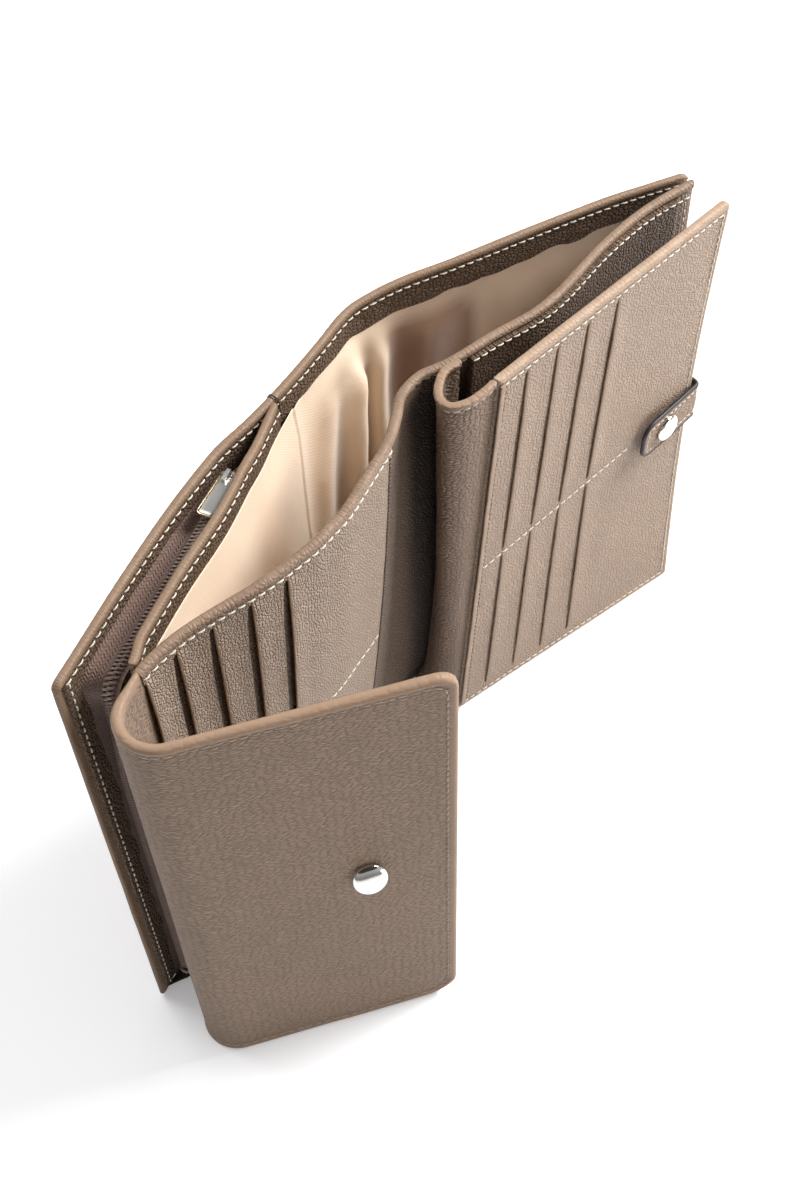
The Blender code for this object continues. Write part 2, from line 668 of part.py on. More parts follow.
def build_flap_snap(turning):
    """The cap and socket on the flap, and the stud that they close on, on the back of the right cover."""
    full = FLAP_LEAD + FLAP_BEND_RADIUS * FLAP_WRAP + FLAP_FLAT
    run, height = full - FLAP_SNAP_INSET, PANEL_HEIGHT / 2
    way = outward(flap_line, run, height)
    half = FLAP_RIM / 2
    snap_cap("flap_snap_cap", CAP_RADIUS, CAP_DOME, spot(flap_line, run, half + GAP, height), way, turning)
    snap_socket("flap_snap_socket", spot(flap_line, run, -half - GAP, height), -way, turning)
    x = HALF_SPAN - (run - FLAP_LEAD - FLAP_BEND_RADIUS * FLAP_WRAP)
    seat = spot(cover_line, x, -LEATHER / 2 - GAP, height)
    snap_stud("cover_snap_stud", seat, -outward(cover_line, x, height), None)


STRAP_STACK = GAP + STUD_BASE + GAP + SOCKET_HEIGHT + GAP
STRAP_LAYER = PAGE_FRONT + LEAF + STRAP_STACK
STRAP_BACK = -PAGE_RIM / 2 - GAP


def strap_line(run, height):
    """The strap's inner face: from its anchor behind the page, round the free edge and along the front."""
    inner = STRAP_LAYER
    back = STRAP_BACK
    radius = (inner - back) / 2
    tip = PAGE_WIDTH + STRAP_CLEARANCE
    centre_offset = (inner + back) / 2
    along = outward(page_line, PAGE_WIDTH, height)
    out = Vector((-along.y, along.x, 0))
    centre = page_line(PAGE_WIDTH, height) + STRAP_CLEARANCE * out + centre_offset * along
    bend = math.pi * radius
    if run < STRAP_ANCHOR:
        return centre - radius * along - (STRAP_ANCHOR - run) * out
    if run < STRAP_ANCHOR + bend:
        angle = (run - STRAP_ANCHOR) / radius
        return centre - radius * math.cos(angle) * along + STRAP_BULGE * math.sin(angle) * out
    return centre + radius * along - (run - STRAP_ANCHOR - bend) * out


STRAP_BEND = math.pi * (STRAP_LAYER - STRAP_BACK) / 2


def build_strap(turning, swinging):
    """The strap that wraps the page's free edge, with its snap."""
    low, high = STRAP_HEIGHT - STRAP_WIDTH / 2, STRAP_HEIGHT + STRAP_WIDTH / 2
    bend_end = STRAP_ANCHOR + STRAP_BEND
    end = bend_end + STRAP_REACH + STRAP_CLEARANCE

    def band(near, far):
        def section(key):
            away = end - key
            inward = max(STRAP_END_ROUND - away, 0.0)
            draw = STRAP_END_ROUND - math.sqrt(max(STRAP_END_ROUND ** 2 - inward ** 2, 0.0))
            return [((near, row), (far, row)) for row in (low + draw, high - draw)]
        return section

    outer = band(-STRAP_LEATHER, 0)
    sweep("strap_anchor", strap_line, outer, spread(0, STRAP_ANCHOR - GAP, 2), "leather", turning)
    sweep("strap_bend", strap_line, outer, spread(STRAP_ANCHOR, bend_end - GAP, STRAP_BEND_STATIONS), "leather",
          swinging)
    keys = spread(bend_end, end, STRAP_STATIONS, STRAP_END_ROUND)
    sweep("strap_tab", strap_line, outer, keys, "leather", swinging)
    height = STRAP_HEIGHT
    run = end - STRAP_SNAP_INSET
    way = outward(strap_line, run, height)
    seat = spot(strap_line, run, -STRAP_LEATHER - GAP, height)
    snap_cap("strap_snap_cap", SMALL_CAP_RADIUS, SMALL_CAP_DOME, seat, -way, swinging)
    snap_socket("strap_snap_socket", spot(strap_line, run, GAP, height), way, swinging)
    page_run = PAGE_WIDTH + STRAP_CLEARANCE - (run - bend_end)
    seat = spot(page_line, page_run, PAGE_FRONT + LEAF + GAP, height)
    snap_stud("page_snap_stud", seat, outward(page_line, page_run, height), turning)


def zip_path():
    """Frames along the zip: along the pocket's mouth, round the corner and down its end.

    Each frame is (centre, along, across), where across points to the inner wall.
    """
    level = PANEL_HEIGHT - CHAIN_DROP
    ends = [spot(inner_line, -out, -CHAIN_SET, level) for out in (TAPE_START_OUT, CHAIN_CORNER_OUT)]
    along = (ends[1] - ends[0]).normalized()
    across = Vector((-along.y, along.x, 0))
    frames = [(ends[0].lerp(ends[1], step / TAPE_STATIONS), along, across) for step in range(TAPE_STATIONS + 1)]
    hub = ends[1] - Vector((0, 0, CHAIN_CORNER_RADIUS))
    for step in range(1, BEND_STATIONS + 1):
        angle = math.pi / 2 * step / BEND_STATIONS
        spoke = math.sin(angle) * along + math.cos(angle) * Vector((0, 0, 1))
        tangent = math.cos(angle) * along - math.sin(angle) * Vector((0, 0, 1))
        frames.append((hub + CHAIN_CORNER_RADIUS * spoke, tangent, across))
    last = frames[-1]
    frames.append((Vector((last[0].x, last[0].y, TAPE_FOOT)), last[1], across))
    return frames


def zip_frame(frames, run):
    """The frame at a distance along the zip."""
    for (here, along, across), (there, next_along, next_across) in zip(frames, frames[1:]):
        length = (there - here).length
        if run <= length or there is frames[-1][0]:
            share = run / length
            return here.lerp(there, share), along.lerp(next_along, share).normalized(), across.lerp(next_across, share)
        run -= length


def ribbon(name, frames, runs, ring_at, kind, parent=None):
    """Skin a closed solid over rings of (across, up) pairs set along the zip."""
    data = bmesh.new()
    rings = []
    for number, run in enumerate(runs):
        centre, along, across = zip_frame(frames, run)
        up = along.cross(across).normalized()
        up = up if up.z + up.x * along.x >= -1 else -up
        rings.append([data.verts.new(centre + a * across + u * up) for a, u in ring_at(number, centre)])
    count = len(rings[0])
    for near, far in zip(rings, rings[1:]):
        for index in range(count):
            after = (index + 1) % count
            data.faces.new((near[index], near[after], far[after], far[index]))
    caps = [data.faces.new(rings[0]), data.faces.new(list(reversed(rings[-1])))]
    bmesh.ops.triangulate(data, faces=caps, ngon_method="EAR_CLIP")
    return finish(name, data, kind, Vector(), parent)


def build_zip():
    """Tapes, coil chain and stop, along the mouth and down the end of the pocket."""
    frames = zip_path()
    lengths = [(b[0] - a[0]).length for a, b in zip(frames, frames[1:])]
    total, top = sum(lengths), sum(lengths[:TAPE_STATIONS])
    chain_start = top * (CHAIN_START_OUT - TAPE_START_OUT) / (CHAIN_CORNER_OUT - TAPE_START_OUT)
    chain_end = total - (CHAIN_FOOT - TAPE_FOOT)
    half, base = CHAIN_WIDTH / 2, CHAIN_THICKNESS / 2
    teeth = int((chain_end - chain_start) / CHAIN_PITCH * 2)
    runs = [chain_start + CHAIN_PITCH / 2 * step for step in range(teeth)]

    def tooth(number, centre):
        left, right = (CHAIN_TOOTH, 0) if number % 2 else (0, CHAIN_TOOTH)
        out = half - base * EDGE_SHARE
        return [(-half, -base), (-out, base + left), (0, base), (out, base + right), (half, -base)]

    ribbon("zip_chain", frames, runs, tooth, "coil")
    bend = CHAIN_CORNER_RADIUS * math.pi / 2
    tape_runs = spread(0, top, TAPE_STATIONS) + spread(top, top + bend, BEND_STATIONS)[1:] + [total]

    def band(near, far):
        return [(near, -TAPE / 2), (near, TAPE / 2), (far, TAPE / 2), (far, -TAPE / 2)]

    def inner_tape(number, centre):
        across = zip_frame(frames, tape_runs[number])[2]
        return band(half + GAP, reach_to(inner_line, centre, across) - LEATHER / 2 - GAP)

    def outer_tape(number, centre):
        across = zip_frame(frames, tape_runs[number])[2]
        return band(-half - GAP, LEATHER / 2 + FACING + 3 * GAP - reach_to(cover_line, centre, -across))

    def stop(number, centre):
        tip = base + CHAIN_TOOTH
        return [(-half, -tip), (-half, tip), (half, tip), (half, -tip)]

    ribbon("zip_tape_inner", frames, tape_runs, inner_tape, "tape")
    ribbon("zip_tape_outer", frames, tape_runs, outer_tape, "tape")
    ribbon("zip_stop_bottom", frames, [chain_end + GAP, chain_end + GAP + STOP_LENGTH], stop, "metal")
    return frames, chain_start


def build_pocket_floor():
    """The fabric floor of the zip pocket, between its two walls."""
    def section(key):
        across = outward(inner_line, key, FLOOR_LEVEL)
        wall = LEATHER / 2 + GAP
        far = reach_to(cover_line, inner_line(key, FLOOR_LEVEL), -across) - wall - LINING - 2 * GAP
        return [((-wall, row), (-far, row)) for row in (FLOOR_LEVEL, FLOOR_LEVEL + LINING)]

    sweep("pocket_floor", inner_line, section, gridded(-INNER_WALL_END + HEM, -TAPE_START_OUT), "satin")


def reach_to(line, place, way):
    """How far the middle of a wall lies from a point, in a level direction."""
    def beyond(reach):
        there = place + reach * way
        return (there.y - line(there.x, there.z).y) * way.y > 0

    low, high = 0.0, 2 * ZIP_GAPE
    for step in range(REACH_STEPS):
        middle = (low + high) / 2
        low, high = (low, middle) if beyond(middle) else (middle, high)
    return low


def plate(outline, low, high):
    """Extrude an outline of (along, across) pairs between two heights."""
    data = bmesh.new()
    face = data.faces.new([data.verts.new((x, y, low)) for x, y in outline])
    raised = bmesh.ops.extrude_face_region(data, geom=[face])
    verts = [item for item in raised["geom"] if isinstance(item, bmesh.types.BMVert)]
    bmesh.ops.translate(data, verts=verts, vec=Vector((0, 0, high - low)))
    return data


def shape(name, data, frame, kind="metal", guide=False):
    """Place a small piece that was modelled in the slider's own frame."""
    item = finish(name, data, kind)
    item.matrix_world = frame
    if guide:
        item.hide_render = True
        item.display_type = "WIRE"
    return item


def join(item, other, operation="UNION"):
    modifier = item.modifiers.new(other.name, "BOOLEAN")
    modifier.operation = operation
    modifier.solver = "EXACT"
    modifier.object = other


def box_outline(x0, x1, half_width):
    return [(x0, -half_width), (x1, -half_width), (x1, half_width), (x0, half_width)]


def build_slider(frames, chain_start):
    """The slider on the closed end of the chain, with its crown, and the pull on it."""
    centre, along, across = zip_frame(frames, chain_start)
    up = Vector((0, 0, 1))
    side = up.cross(along)
    frame = Matrix((along, side, up)).transposed().to_4x4()
    frame.translation = centre
    half_chain = CHAIN_THICKNESS / 2 + CHAIN_TOOTH + GAP
    front, back = -SLIDER_BRIDGE - GAP, SLIDER_LENGTH - SLIDER_BRIDGE
    half = SLIDER_WIDTH / 2
    shield = [
        (front, -half + SLIDER_SHOULDER), (front + SLIDER_SHOULDER, -half), (back, -half + SLIDER_SHOULDER / 2),
        (back, half - SLIDER_SHOULDER / 2), (front + SLIDER_SHOULDER, half), (front, half - SLIDER_SHOULDER),
    ]
    top = half_chain + SLIDER_PLATE
    slider = shape("zip_slider", plate(shield, half_chain, top), frame)
    lower = shape("slider_lower_guide", plate(shield, -top, -half_chain), frame, guide=True)
    post = box_outline(front + GAP, -GAP, SLIDER_BRIDGE_WIDTH / 2)
    bridge = shape("slider_bridge_guide", plate(post, -top + GAP, top - GAP), frame, guide=True)
    crown_at = CROWN_LENGTH * EDGE_SHARE
    arch_half = CROWN_LENGTH / 2
    arch_top = top + CROWN_CLEAR + CROWN_WALL
    arch = box_outline(crown_at - arch_half, crown_at + arch_half, CROWN_WIDTH / 2)
    crown = shape("slider_crown_guide", plate(arch, top - GAP, arch_top), frame, guide=True)
    inside = arch_half - CROWN_WALL
    window = box_outline(crown_at - inside, crown_at + inside, CROWN_WIDTH)
    hole = shape("slider_window_guide", plate(window, top, top + CROWN_CLEAR), frame, guide=True)
    join(crown, hole, "DIFFERENCE")
    for other in (lower, bridge, crown):
        join(slider, other)
    pivot = Vector((crown_at, 0, top + CROWN_CLEAR / 2))
    build_pull(frame, pivot)


def build_pull(frame, pivot):
    """The pull: a round-ended plate with a slot that the crown passes through."""
    half = PULL_WIDTH / 2
    centre = PULL_LENGTH - half
    outline = [(-PULL_BAR / 2, -half), (centre, -half)]
    for step in range(1, PULL_END_STEPS):
        angle = -math.pi / 2 + math.pi * step / PULL_END_STEPS
        outline.append((centre + half * math.cos(angle), half * math.sin(angle)))
    outline += [(centre, half), (-PULL_BAR / 2, half)]
    place = frame @ Matrix.Translation(pivot) @ Matrix.Rotation(-PULL_TILT, 4, "Y")
    pull = shape("zip_pull", plate(outline, -PULL_THICKNESS / 2, PULL_THICKNESS / 2), place)
    opening = box_outline(PULL_BAR / 2, PULL_BAR / 2 + PULL_SLOT, PULL_SLOT_WIDTH / 2)
    slot = shape("pull_slot_guide", plate(opening, -PULL_THICKNESS, PULL_THICKNESS), place, guide=True)
    join(pull, slot, "DIFFERENCE")


def build():
    clear_scene()
    page_axis = axis_empty("page_axis", Vector((*PAGE_AXIS, 0)))
    bend_hub = flap_line(FLAP_LEAD, 0) + FLAP_BEND_RADIUS * Vector(
        (-math.sin(FLAP_START_TURN), math.cos(FLAP_START_TURN), 0)
    )
    flap_axis = axis_empty("flap_axis", bend_hub)
    tip = page_line(PAGE_WIDTH, STRAP_HEIGHT)
    strap_axis = axis_empty("strap_axis", tip)
    build_left_leaf()
    build_spine()
    build_pocket_cover()
    build_pocket_floor()
    build_right_leaf()
    build_page(page_axis)
    build_flap(flap_axis)
    build_flap_snap(flap_axis)
    build_strap(page_axis, strap_axis)
    frames, chain_start = build_zip()
    build_slider(frames, chain_start)
    bpy.context.view_layer.update()


build()
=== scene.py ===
"""Looks of the travel wallet: grained leather panels, satin, zip, snaps and stitching round the fixed frame.

Lengths are in metres. X runs along the open covers, the card slots face -Y and Z is up. A panel is a surface
over the stations of a plan line and a height. Offsets from a line count towards the card side.
"""

from __future__ import annotations

import logging
import math
from bisect import bisect_right
from dataclasses import dataclass, field
from enum import Enum
from typing import Callable, Sequence

import bmesh
import bpy
from bpy.types import ID, Material, Node, NodeSocket, NodeTree, Object
from mathutils import Matrix, Vector, noise


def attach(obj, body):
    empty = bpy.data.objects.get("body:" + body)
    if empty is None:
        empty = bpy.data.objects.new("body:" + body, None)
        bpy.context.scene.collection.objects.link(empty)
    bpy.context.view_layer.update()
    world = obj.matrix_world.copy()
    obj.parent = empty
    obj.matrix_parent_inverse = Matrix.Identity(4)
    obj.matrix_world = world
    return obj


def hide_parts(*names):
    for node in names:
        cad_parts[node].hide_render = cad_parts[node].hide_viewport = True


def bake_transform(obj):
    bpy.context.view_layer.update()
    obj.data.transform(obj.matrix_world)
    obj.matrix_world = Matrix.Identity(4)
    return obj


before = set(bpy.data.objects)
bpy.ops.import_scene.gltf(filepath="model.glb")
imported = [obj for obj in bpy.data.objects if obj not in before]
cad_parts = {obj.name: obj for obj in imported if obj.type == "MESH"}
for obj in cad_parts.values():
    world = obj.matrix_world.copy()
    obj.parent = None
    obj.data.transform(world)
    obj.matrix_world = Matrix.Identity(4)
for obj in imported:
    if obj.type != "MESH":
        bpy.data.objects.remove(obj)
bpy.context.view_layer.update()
log = logging.getLogger("wallet")

Line = Callable[[float, float], Vector]
Offset = Callable[[float, float], float]
Triple = tuple[float, float, float]
Pairs = Sequence[tuple[float, float]]
Row = list[tuple[Vector, Vector]]
Frame = tuple[Vector, Vector, Vector]

HEIGHT = 0.190
MM = 0.001
LEVEL_STEP = 0.0012
UPRIGHT_STEP = 0.0015
UP = Vector((0, 0, 1))


class Side(Enum):
    """The sides of a panel, seen with its line running to the right."""

    START = "start"
    END = "end"
    TOP = "top"
    FOOT = "foot"


Sides = frozenset[Side]
ALL_SIDES: Sides = frozenset(Side)
LEVEL_SIDES: Sides = frozenset({Side.TOP, Side.FOOT})


def smooth(value: float, low: float = 0.0, high: float = 1.0) -> float:
    """A soft step from 0 at low to 1 at high."""
    share = min(max((value - low) / (high - low), 0.0), 1.0)
    return share * share * (3 - 2 * share)


def bell(value: float, width: float) -> float:
    """A soft hump of height 1 at zero."""
    return math.exp(-((value / width) ** 2))


def rounded_distance(first: float, second: float, radius: float) -> float:
    """The distance to two sides that meet in a rounded corner, from the distance to each.

    Args:
        first: The distance to one side.
        second: The distance to the other.
        radius: The corner's radius.

    Returns:
        The distance to the rounded outline.
    """
    if first < radius and second < radius:
        return radius - math.hypot(radius - first, radius - second)
    return min(first, second)


def ripple(key: float, height: float, size: float, seed: float) -> float:
    """Smooth unevenness between -1 and 1 with features of a given size."""
    return noise.noise(Vector((key / size, height / size, seed)))


def even(*values: float) -> tuple[float, ...]:
    """Knots at even steps from 0 to 1, for a graph."""
    return tuple(n for i, value in enumerate(values) for n in (i / (len(values) - 1), value))


class Graph:
    """A smooth function through knots that are shares of two sizes."""

    def __init__(self, shares: Sequence[float], along: float = 1.0, across: float = 1.0) -> None:
        """Scale the knots and find a slope at each.

        Args:
            shares: The place and the value of each knot in turn.
            along: The size that the places are shares of.
            across: The size that the values are shares of.
        """
        self.knots = [(x * along, y * across) for x, y in zip(shares[::2], shares[1::2])]
        self.places = [knot[0] for knot in self.knots]
        last = len(self.knots) - 1
        spans = [(self.knots[max(i - 1, 0)], self.knots[min(i + 1, last)]) for i in range(last + 1)]
        self.slopes = [(after[1] - before[1]) / (after[0] - before[0]) for before, after in spans]

    def __call__(self, place: float) -> float:
        """The value at a place.

        Args:
            place: Where to read the graph.

        Returns:
            The value there.
        """
        index = min(max(bisect_right(self.places, place) - 1, 0), len(self.knots) - 2)
        (x0, y0), (x1, y1) = self.knots[index], self.knots[index + 1]
        width = x1 - x0
        t = min(max((place - x0) / width, 0.0), 1.0)
        rise = y0 * (1 + 2 * t) * (1 - t) ** 2 + y1 * t * t * (3 - 2 * t)
        slopes = self.slopes[index] * t * (1 - t) ** 2 - self.slopes[index + 1] * t * t * (1 - t)
        return rise + width * slopes


@dataclass(frozen=True)
class Plan:
    """The plan lines that the solids follow, and where panels start and end on them."""

    half_span: float = 0.131
    sweep: float = 0.0352
    zip_gape: float = 0.0138
    note_gape: float = 0.031
    stack: float = 0.0051
    wall_left: float = 0.1138
    wall_right: float = 0.1285
    fold_left: float = 0.016
    page_width: float = 0.1068
    page_bow: float = 0.0032
    page_rim: float = 0.0033
    flap_lead: float = 0.0085
    flap_radius: float = 0.010
    flap_wrap: float = math.radians(128)
    flap_turn: float = math.radians(201)
    flap_flat: float = 0.0735
    flap_rim: float = 0.0031
    strap_height: float = 0.0992
    strap_anchor: float = 0.018
    strap_clear: float = 0.0005
    strap_bulge: float = 0.0007
    strap_reach: float = 0.0285
    strap_layer: float = 0.0023
    strap_rise: float = 0.07
    strap_back: float = -0.00205
    root_rim: tuple[float, float] = (0.0213, 0.0146)
    root_foot: tuple[float, float] = (0.0245, 0.0208)
    page_turn_foot: float = -10.6
    page_turn_rim: float = -1.9
    roll_reach_foot: float = 0.0040
    roll_reach_rim: float = 0.0158
    roll_return: float = 0.0168
    roll_in: float = 0.0004
    roll_seat: float = 0.00195
    cover_y: Graph = Graph((
        -1, -1, -0.626, -0.49, -0.389, -0.24, -0.277, -0.195, -0.194, -0.15, -0.112, -0.094, 0, 0,
        0.112, 0.094, 0.19, 0.07, 0.272, -0.003, 0.388, -0.156, 0.777, -0.642, 1, -0.994),
        half_span, sweep)
    zip_gap: Graph = Graph((
        -1, 1, -0.87, 1, -0.652, 0.95, -0.488, 0.92, -0.344, 0.64, -0.244, 0.29, -0.17, 0.1,
        -0.112, 0, 1, 0), half_span, zip_gape)
    note_gap: Graph = Graph((
        -1, 0, -0.87, 0, -0.763, 0.14, -0.598, 0.5, -0.489, 0.7, -0.389, 0.88, -0.282, 0.99,
        -0.182, 1.05, -0.121, 1.06, -0.053, 0.97, -0.002, 0.88, 0.068, 0.91, 0.113, 1, 0.15, 1.04,
        0.237, 1.03, 0.426, 0.88, 0.652, 0.46, 0.817, 0.19, 0.975, 0, 1, 0), half_span, note_gape)
    fold_foot: Graph = Graph((
        -1, 0, -0.36, 0, -0.14, 0.22, 0.02, 0.27, 0.2, 0.27, 0.36, 0.14, 0.6, 0, 1, 0), half_span)
    lean: Graph = Graph((
        0, 0, 0.016, 0, 0.1, 0.24, 0.28, 0.46, 0.5, 0.67, 0.75, 0.86, 1, 1), HEIGHT)
    roll_depth: Graph = Graph(even(0, -0.01, 0.03, 0.16, 0.34, 0.55, 0.74, 0.92, 0.99, 1, 1))
    roll_out: Graph = Graph(even(0, 0.35, 0.68, 0.93, 1, 0.9, 0.66, 0.44, 0.28, 0.16, 0.02))

    def cover(self, x: float, height: float) -> Vector:
        """The middle of the cover leather."""
        return Vector((x, self.cover_y(x), height))

    def inner(self, x: float, height: float) -> Vector:
        """The middle of the wall between the zip pocket and the note pocket."""
        return Vector((x, self.cover_y(x) - self.zip_gap(x), height))

    def front(self, x: float, height: float) -> Vector:
        """The middle of the card wall, which leans out from its foot and stands clear at the fold.

        Args:
            x: The place along the wall.
            height: The height.

        Returns:
            The point.
        """
        back = self.cover_y(x) - self.zip_gap(x) - self.stack
        lean = self.lean(height)
        return Vector((x, back - self.note_gap(x) * (lean + (1 - lean) * self.fold_foot(x)), height))

    def page_root(self, height: float) -> Vector:
        """The card page's inner edge.

        Args:
            height: The height.

        Returns:
            The point.
        """
        rim = self.front(self.root_rim[0], HEIGHT) - Vector((0, self.root_rim[1], 0))
        foot = self.front(self.root_foot[0], 0) - Vector((0, self.root_foot[1], 0))
        return foot.lerp(rim, height / HEIGHT)

    def page(self, run: float, height: float) -> Vector:
        """The middle of the card page, which bows back at mid height towards its free edge.

        Args:
            run: The length from the page's root.
            height: The height.

        Returns:
            The point.
        """
        share = height / HEIGHT
        turn = math.radians(self.page_turn_foot + (self.page_turn_rim - self.page_turn_foot) * share)
        bow = self.page_bow * run / self.page_width * math.sin(math.pi * share)
        way = Vector((math.cos(turn), math.sin(turn), 0))
        return self.page_root(height) + run * way + Vector((0, bow, 0))

    def roll_share(self, share: float, height: float) -> Vector:
        """The rolled leather from the page's edge round to its seam on the wall, by share of its way.

        Args:
            share: The share of the way, from 0 to 1.
            height: The height.

        Returns:
            The point.
        """
        root = self.page_root(height)
        reach = self.roll_reach_foot + (self.roll_reach_rim - self.roll_reach_foot) * height / HEIGHT
        out = self.roll_out(share)
        x = root.x - self.roll_in - (reach if out > 0 else self.roll_return) * out
        seat = self.front(x, height).y - self.roll_seat
        return Vector((x, root.y + (seat - root.y) * self.roll_depth(share), height))

    def flap(self, run: float, height: float) -> Vector:
        """From the pocket's end, out and round the bend, and along the flat of the flap.

        Args:
            run: The length from the pocket's end.
            height: The height.

        Returns:
            The point.
        """
        place = self.front(-self.wall_left, HEIGHT)
        turn = self.flap_turn
        place = place + min(run, self.flap_lead) * Vector((math.cos(turn), math.sin(turn), 0))
        swept = min(max(run - self.flap_lead, 0) / self.flap_radius, self.flap_wrap)
        hub = place + self.flap_radius * Vector((-math.sin(turn), math.cos(turn), 0))
        place = hub + self.flap_radius * Vector((math.sin(turn + swept), -math.cos(turn + swept), 0))
        turn += self.flap_wrap
        rest = max(run - self.flap_lead - self.flap_radius * self.flap_wrap, 0)
        place = place + rest * Vector((math.cos(turn), math.sin(turn), 0))
        return Vector((place.x, place.y, height))

    def flap_full(self) -> float:
        """The flap's length from the pocket's end to its tip."""
        return self.flap_lead + self.flap_radius * self.flap_wrap + self.flap_flat

    def strap(self, run: float, height: float) -> Vector:
        """The strap's inner face: from its anchor behind the page, round the edge and along the front.

        Args:
            run: The length from the anchored end.
            height: The height.

        Returns:
            The point.
        """
        radius = (self.strap_layer - self.strap_back) / 2
        along = outward(self.page, self.page_width, height)
        out = Vector((-along.y, along.x, 0))
        centre = self.page(self.page_width, height) + self.strap_clear * out
        centre += (self.strap_layer + self.strap_back) / 2 * along
        bend = math.pi * radius
        if run < self.strap_anchor:
            return centre - radius * along - (self.strap_anchor - run) * out
        if run < self.strap_anchor + bend:
            angle = (run - self.strap_anchor) / radius
            return centre - radius * math.cos(angle) * along + self.strap_bulge * math.sin(angle) * out
        rest = run - self.strap_anchor - bend
        return centre + (radius + self.strap_rise * rest) * along - rest * out

    def strap_full(self) -> float:
        """The strap's whole length along its line."""
        bend = math.pi * (self.strap_layer - self.strap_back) / 2
        return self.strap_anchor + bend + self.strap_reach + self.strap_clear


def outward(line: Line, key: float, height: float, step: float = 2e-5) -> Vector:
    """The level direction square to a line, towards positive offsets."""
    along = line(key + step, height) - line(key - step, height)
    return Vector((along.y, -along.x, 0)).normalized()


def between(start: float, end: float, count: int) -> list[float]:
    """Even steps from start to end."""
    return [start + (end - start) * i / count for i in range(count + 1)]


def by_length(line: Line) -> tuple[Line, float]:
    """Restate a line from key 0 to 1 so that its keys are lengths along its rim.

    Args:
        line: The line to restate.

    Returns:
        The restated line and its full length.
    """
    keys = between(0.0, 1.0, 160)
    lengths = lengths_along([line(key, HEIGHT) for key in keys])

    def restated(length: float, height: float) -> Vector:
        """The line's point at a length."""
        index, share = place_in(lengths, length)
        return line(keys[index] + (keys[index + 1] - keys[index]) * share, height)

    return restated, lengths[-1]


def lengths_along(spots: Sequence[Vector]) -> list[float]:
    """The length from the first point to each.

    Args:
        spots: The points, in order.

    Returns:
        A length for each point.
    """
    lengths = [0.0]
    for near, far in zip(spots, spots[1:]):
        lengths.append(lengths[-1] + (far - near).length)
    return lengths


def place_in(lengths: Sequence[float], run: float) -> tuple[int, float]:
    """The stretch that a length falls in, and its share of that stretch."""
    index = min(max(bisect_right(lengths, run) - 1, 0), len(lengths) - 2)
    return index, (run - lengths[index]) / max(lengths[index + 1] - lengths[index], 1e-9)


class Wiring:
    """Short ways to add and join shader nodes in one tree."""

    def __init__(self, tree: NodeTree) -> None:
        """Keep the tree that nodes are added to."""
        self.tree = tree

    def node(self, kind: str, settings: dict[str, object] | None = None, **inputs: object) -> Node:
        """Add a node, set its properties, and join or set its inputs.

        Args:
            kind: The node's type, without its ShaderNode.
            settings: Properties of the node itself.
            **inputs: Sockets or values, by input name with _ for a space, or by in0, in1 for a place.

        Returns:
            The new node.
        """
        made = self.tree.nodes.new("ShaderNode" + kind)
        for key, value in (settings or {}).items():
            setattr(made, key, value)
        for key, value in inputs.items():
            by_place = key[:2] == "in" and key[2:].isdigit()
            self.put(value, made.inputs[int(key[2:]) if by_place else key.replace("_", " ")])
        return made

    def put(self, value: object, target: NodeSocket) -> None:
        """Join a socket, or set a value.

        Args:
            value: The socket or the value.
            target: The input that takes it.
        """
        if isinstance(value, NodeSocket):
            self.tree.links.new(value, target)
        else:
            target.default_value = value

    def math(self, operation: str, *values: object) -> NodeSocket:
        """One step of arithmetic."""
        inputs = {f"in{i}": value for i, value in enumerate(values)}
        return self.node("Math", {"operation": operation}, **inputs).outputs[0]

    def times(self, first: object, second: object) -> NodeSocket:
        """A product."""
        return self.math("MULTIPLY", first, second)

    def plus(self, first: object, second: object) -> NodeSocket:
        """A sum."""
        return self.math("ADD", first, second)

    def rest(self, value: object) -> NodeSocket:
        """What is missing to 1."""
        return self.math("SUBTRACT", 1.0, value)

    def vector(self, operation: str, first: object, **others: object) -> NodeSocket:
        """One step of arithmetic on vectors."""
        return self.node("VectorMath", {"operation": operation}, in0=first, **others).outputs[0]

    def ramp(self, value: object, low: float, high: float, start: float = 0.0,
             stop: float = 1.0) -> NodeSocket:
        """A soft step of a value between two limits."""
        return self.node("MapRange", {"interpolation_type": "SMOOTHSTEP"}, in0=value, in1=low, in2=high,
                         in3=start, in4=stop).outputs[0]

    def mix(self, share: object, first: object, second: object) -> NodeSocket:
        """A mix of two colours."""
        return self.node("Mix", {"data_type": "RGBA"}, in0=share, in6=first, in7=second).outputs[2]

    def noise(self, vector: object, scale: object, detail: float = 2.0) -> Node:
        """Plain noise between 0 and 1, in grey and in colour."""
        return self.node("TexNoise", Vector=vector, Scale=scale, Detail=detail)

    def stored(self, name: str) -> NodeSocket:
        """A value that the mesh stores at each point."""
        return self.node("Attribute", {"attribute_name": name}).outputs[2]

    def bump(self, height: object, distance: float) -> NodeSocket:
        """The surface's direction with a relief on it."""
        return self.node("Bump", Strength=1.0, Distance=distance, Height=height).outputs[0]

    def group(self, tree: NodeTree, **inputs: object) -> Node:
        """A shared node group."""
        return self.node("Group", {"node_tree": tree}, **inputs)


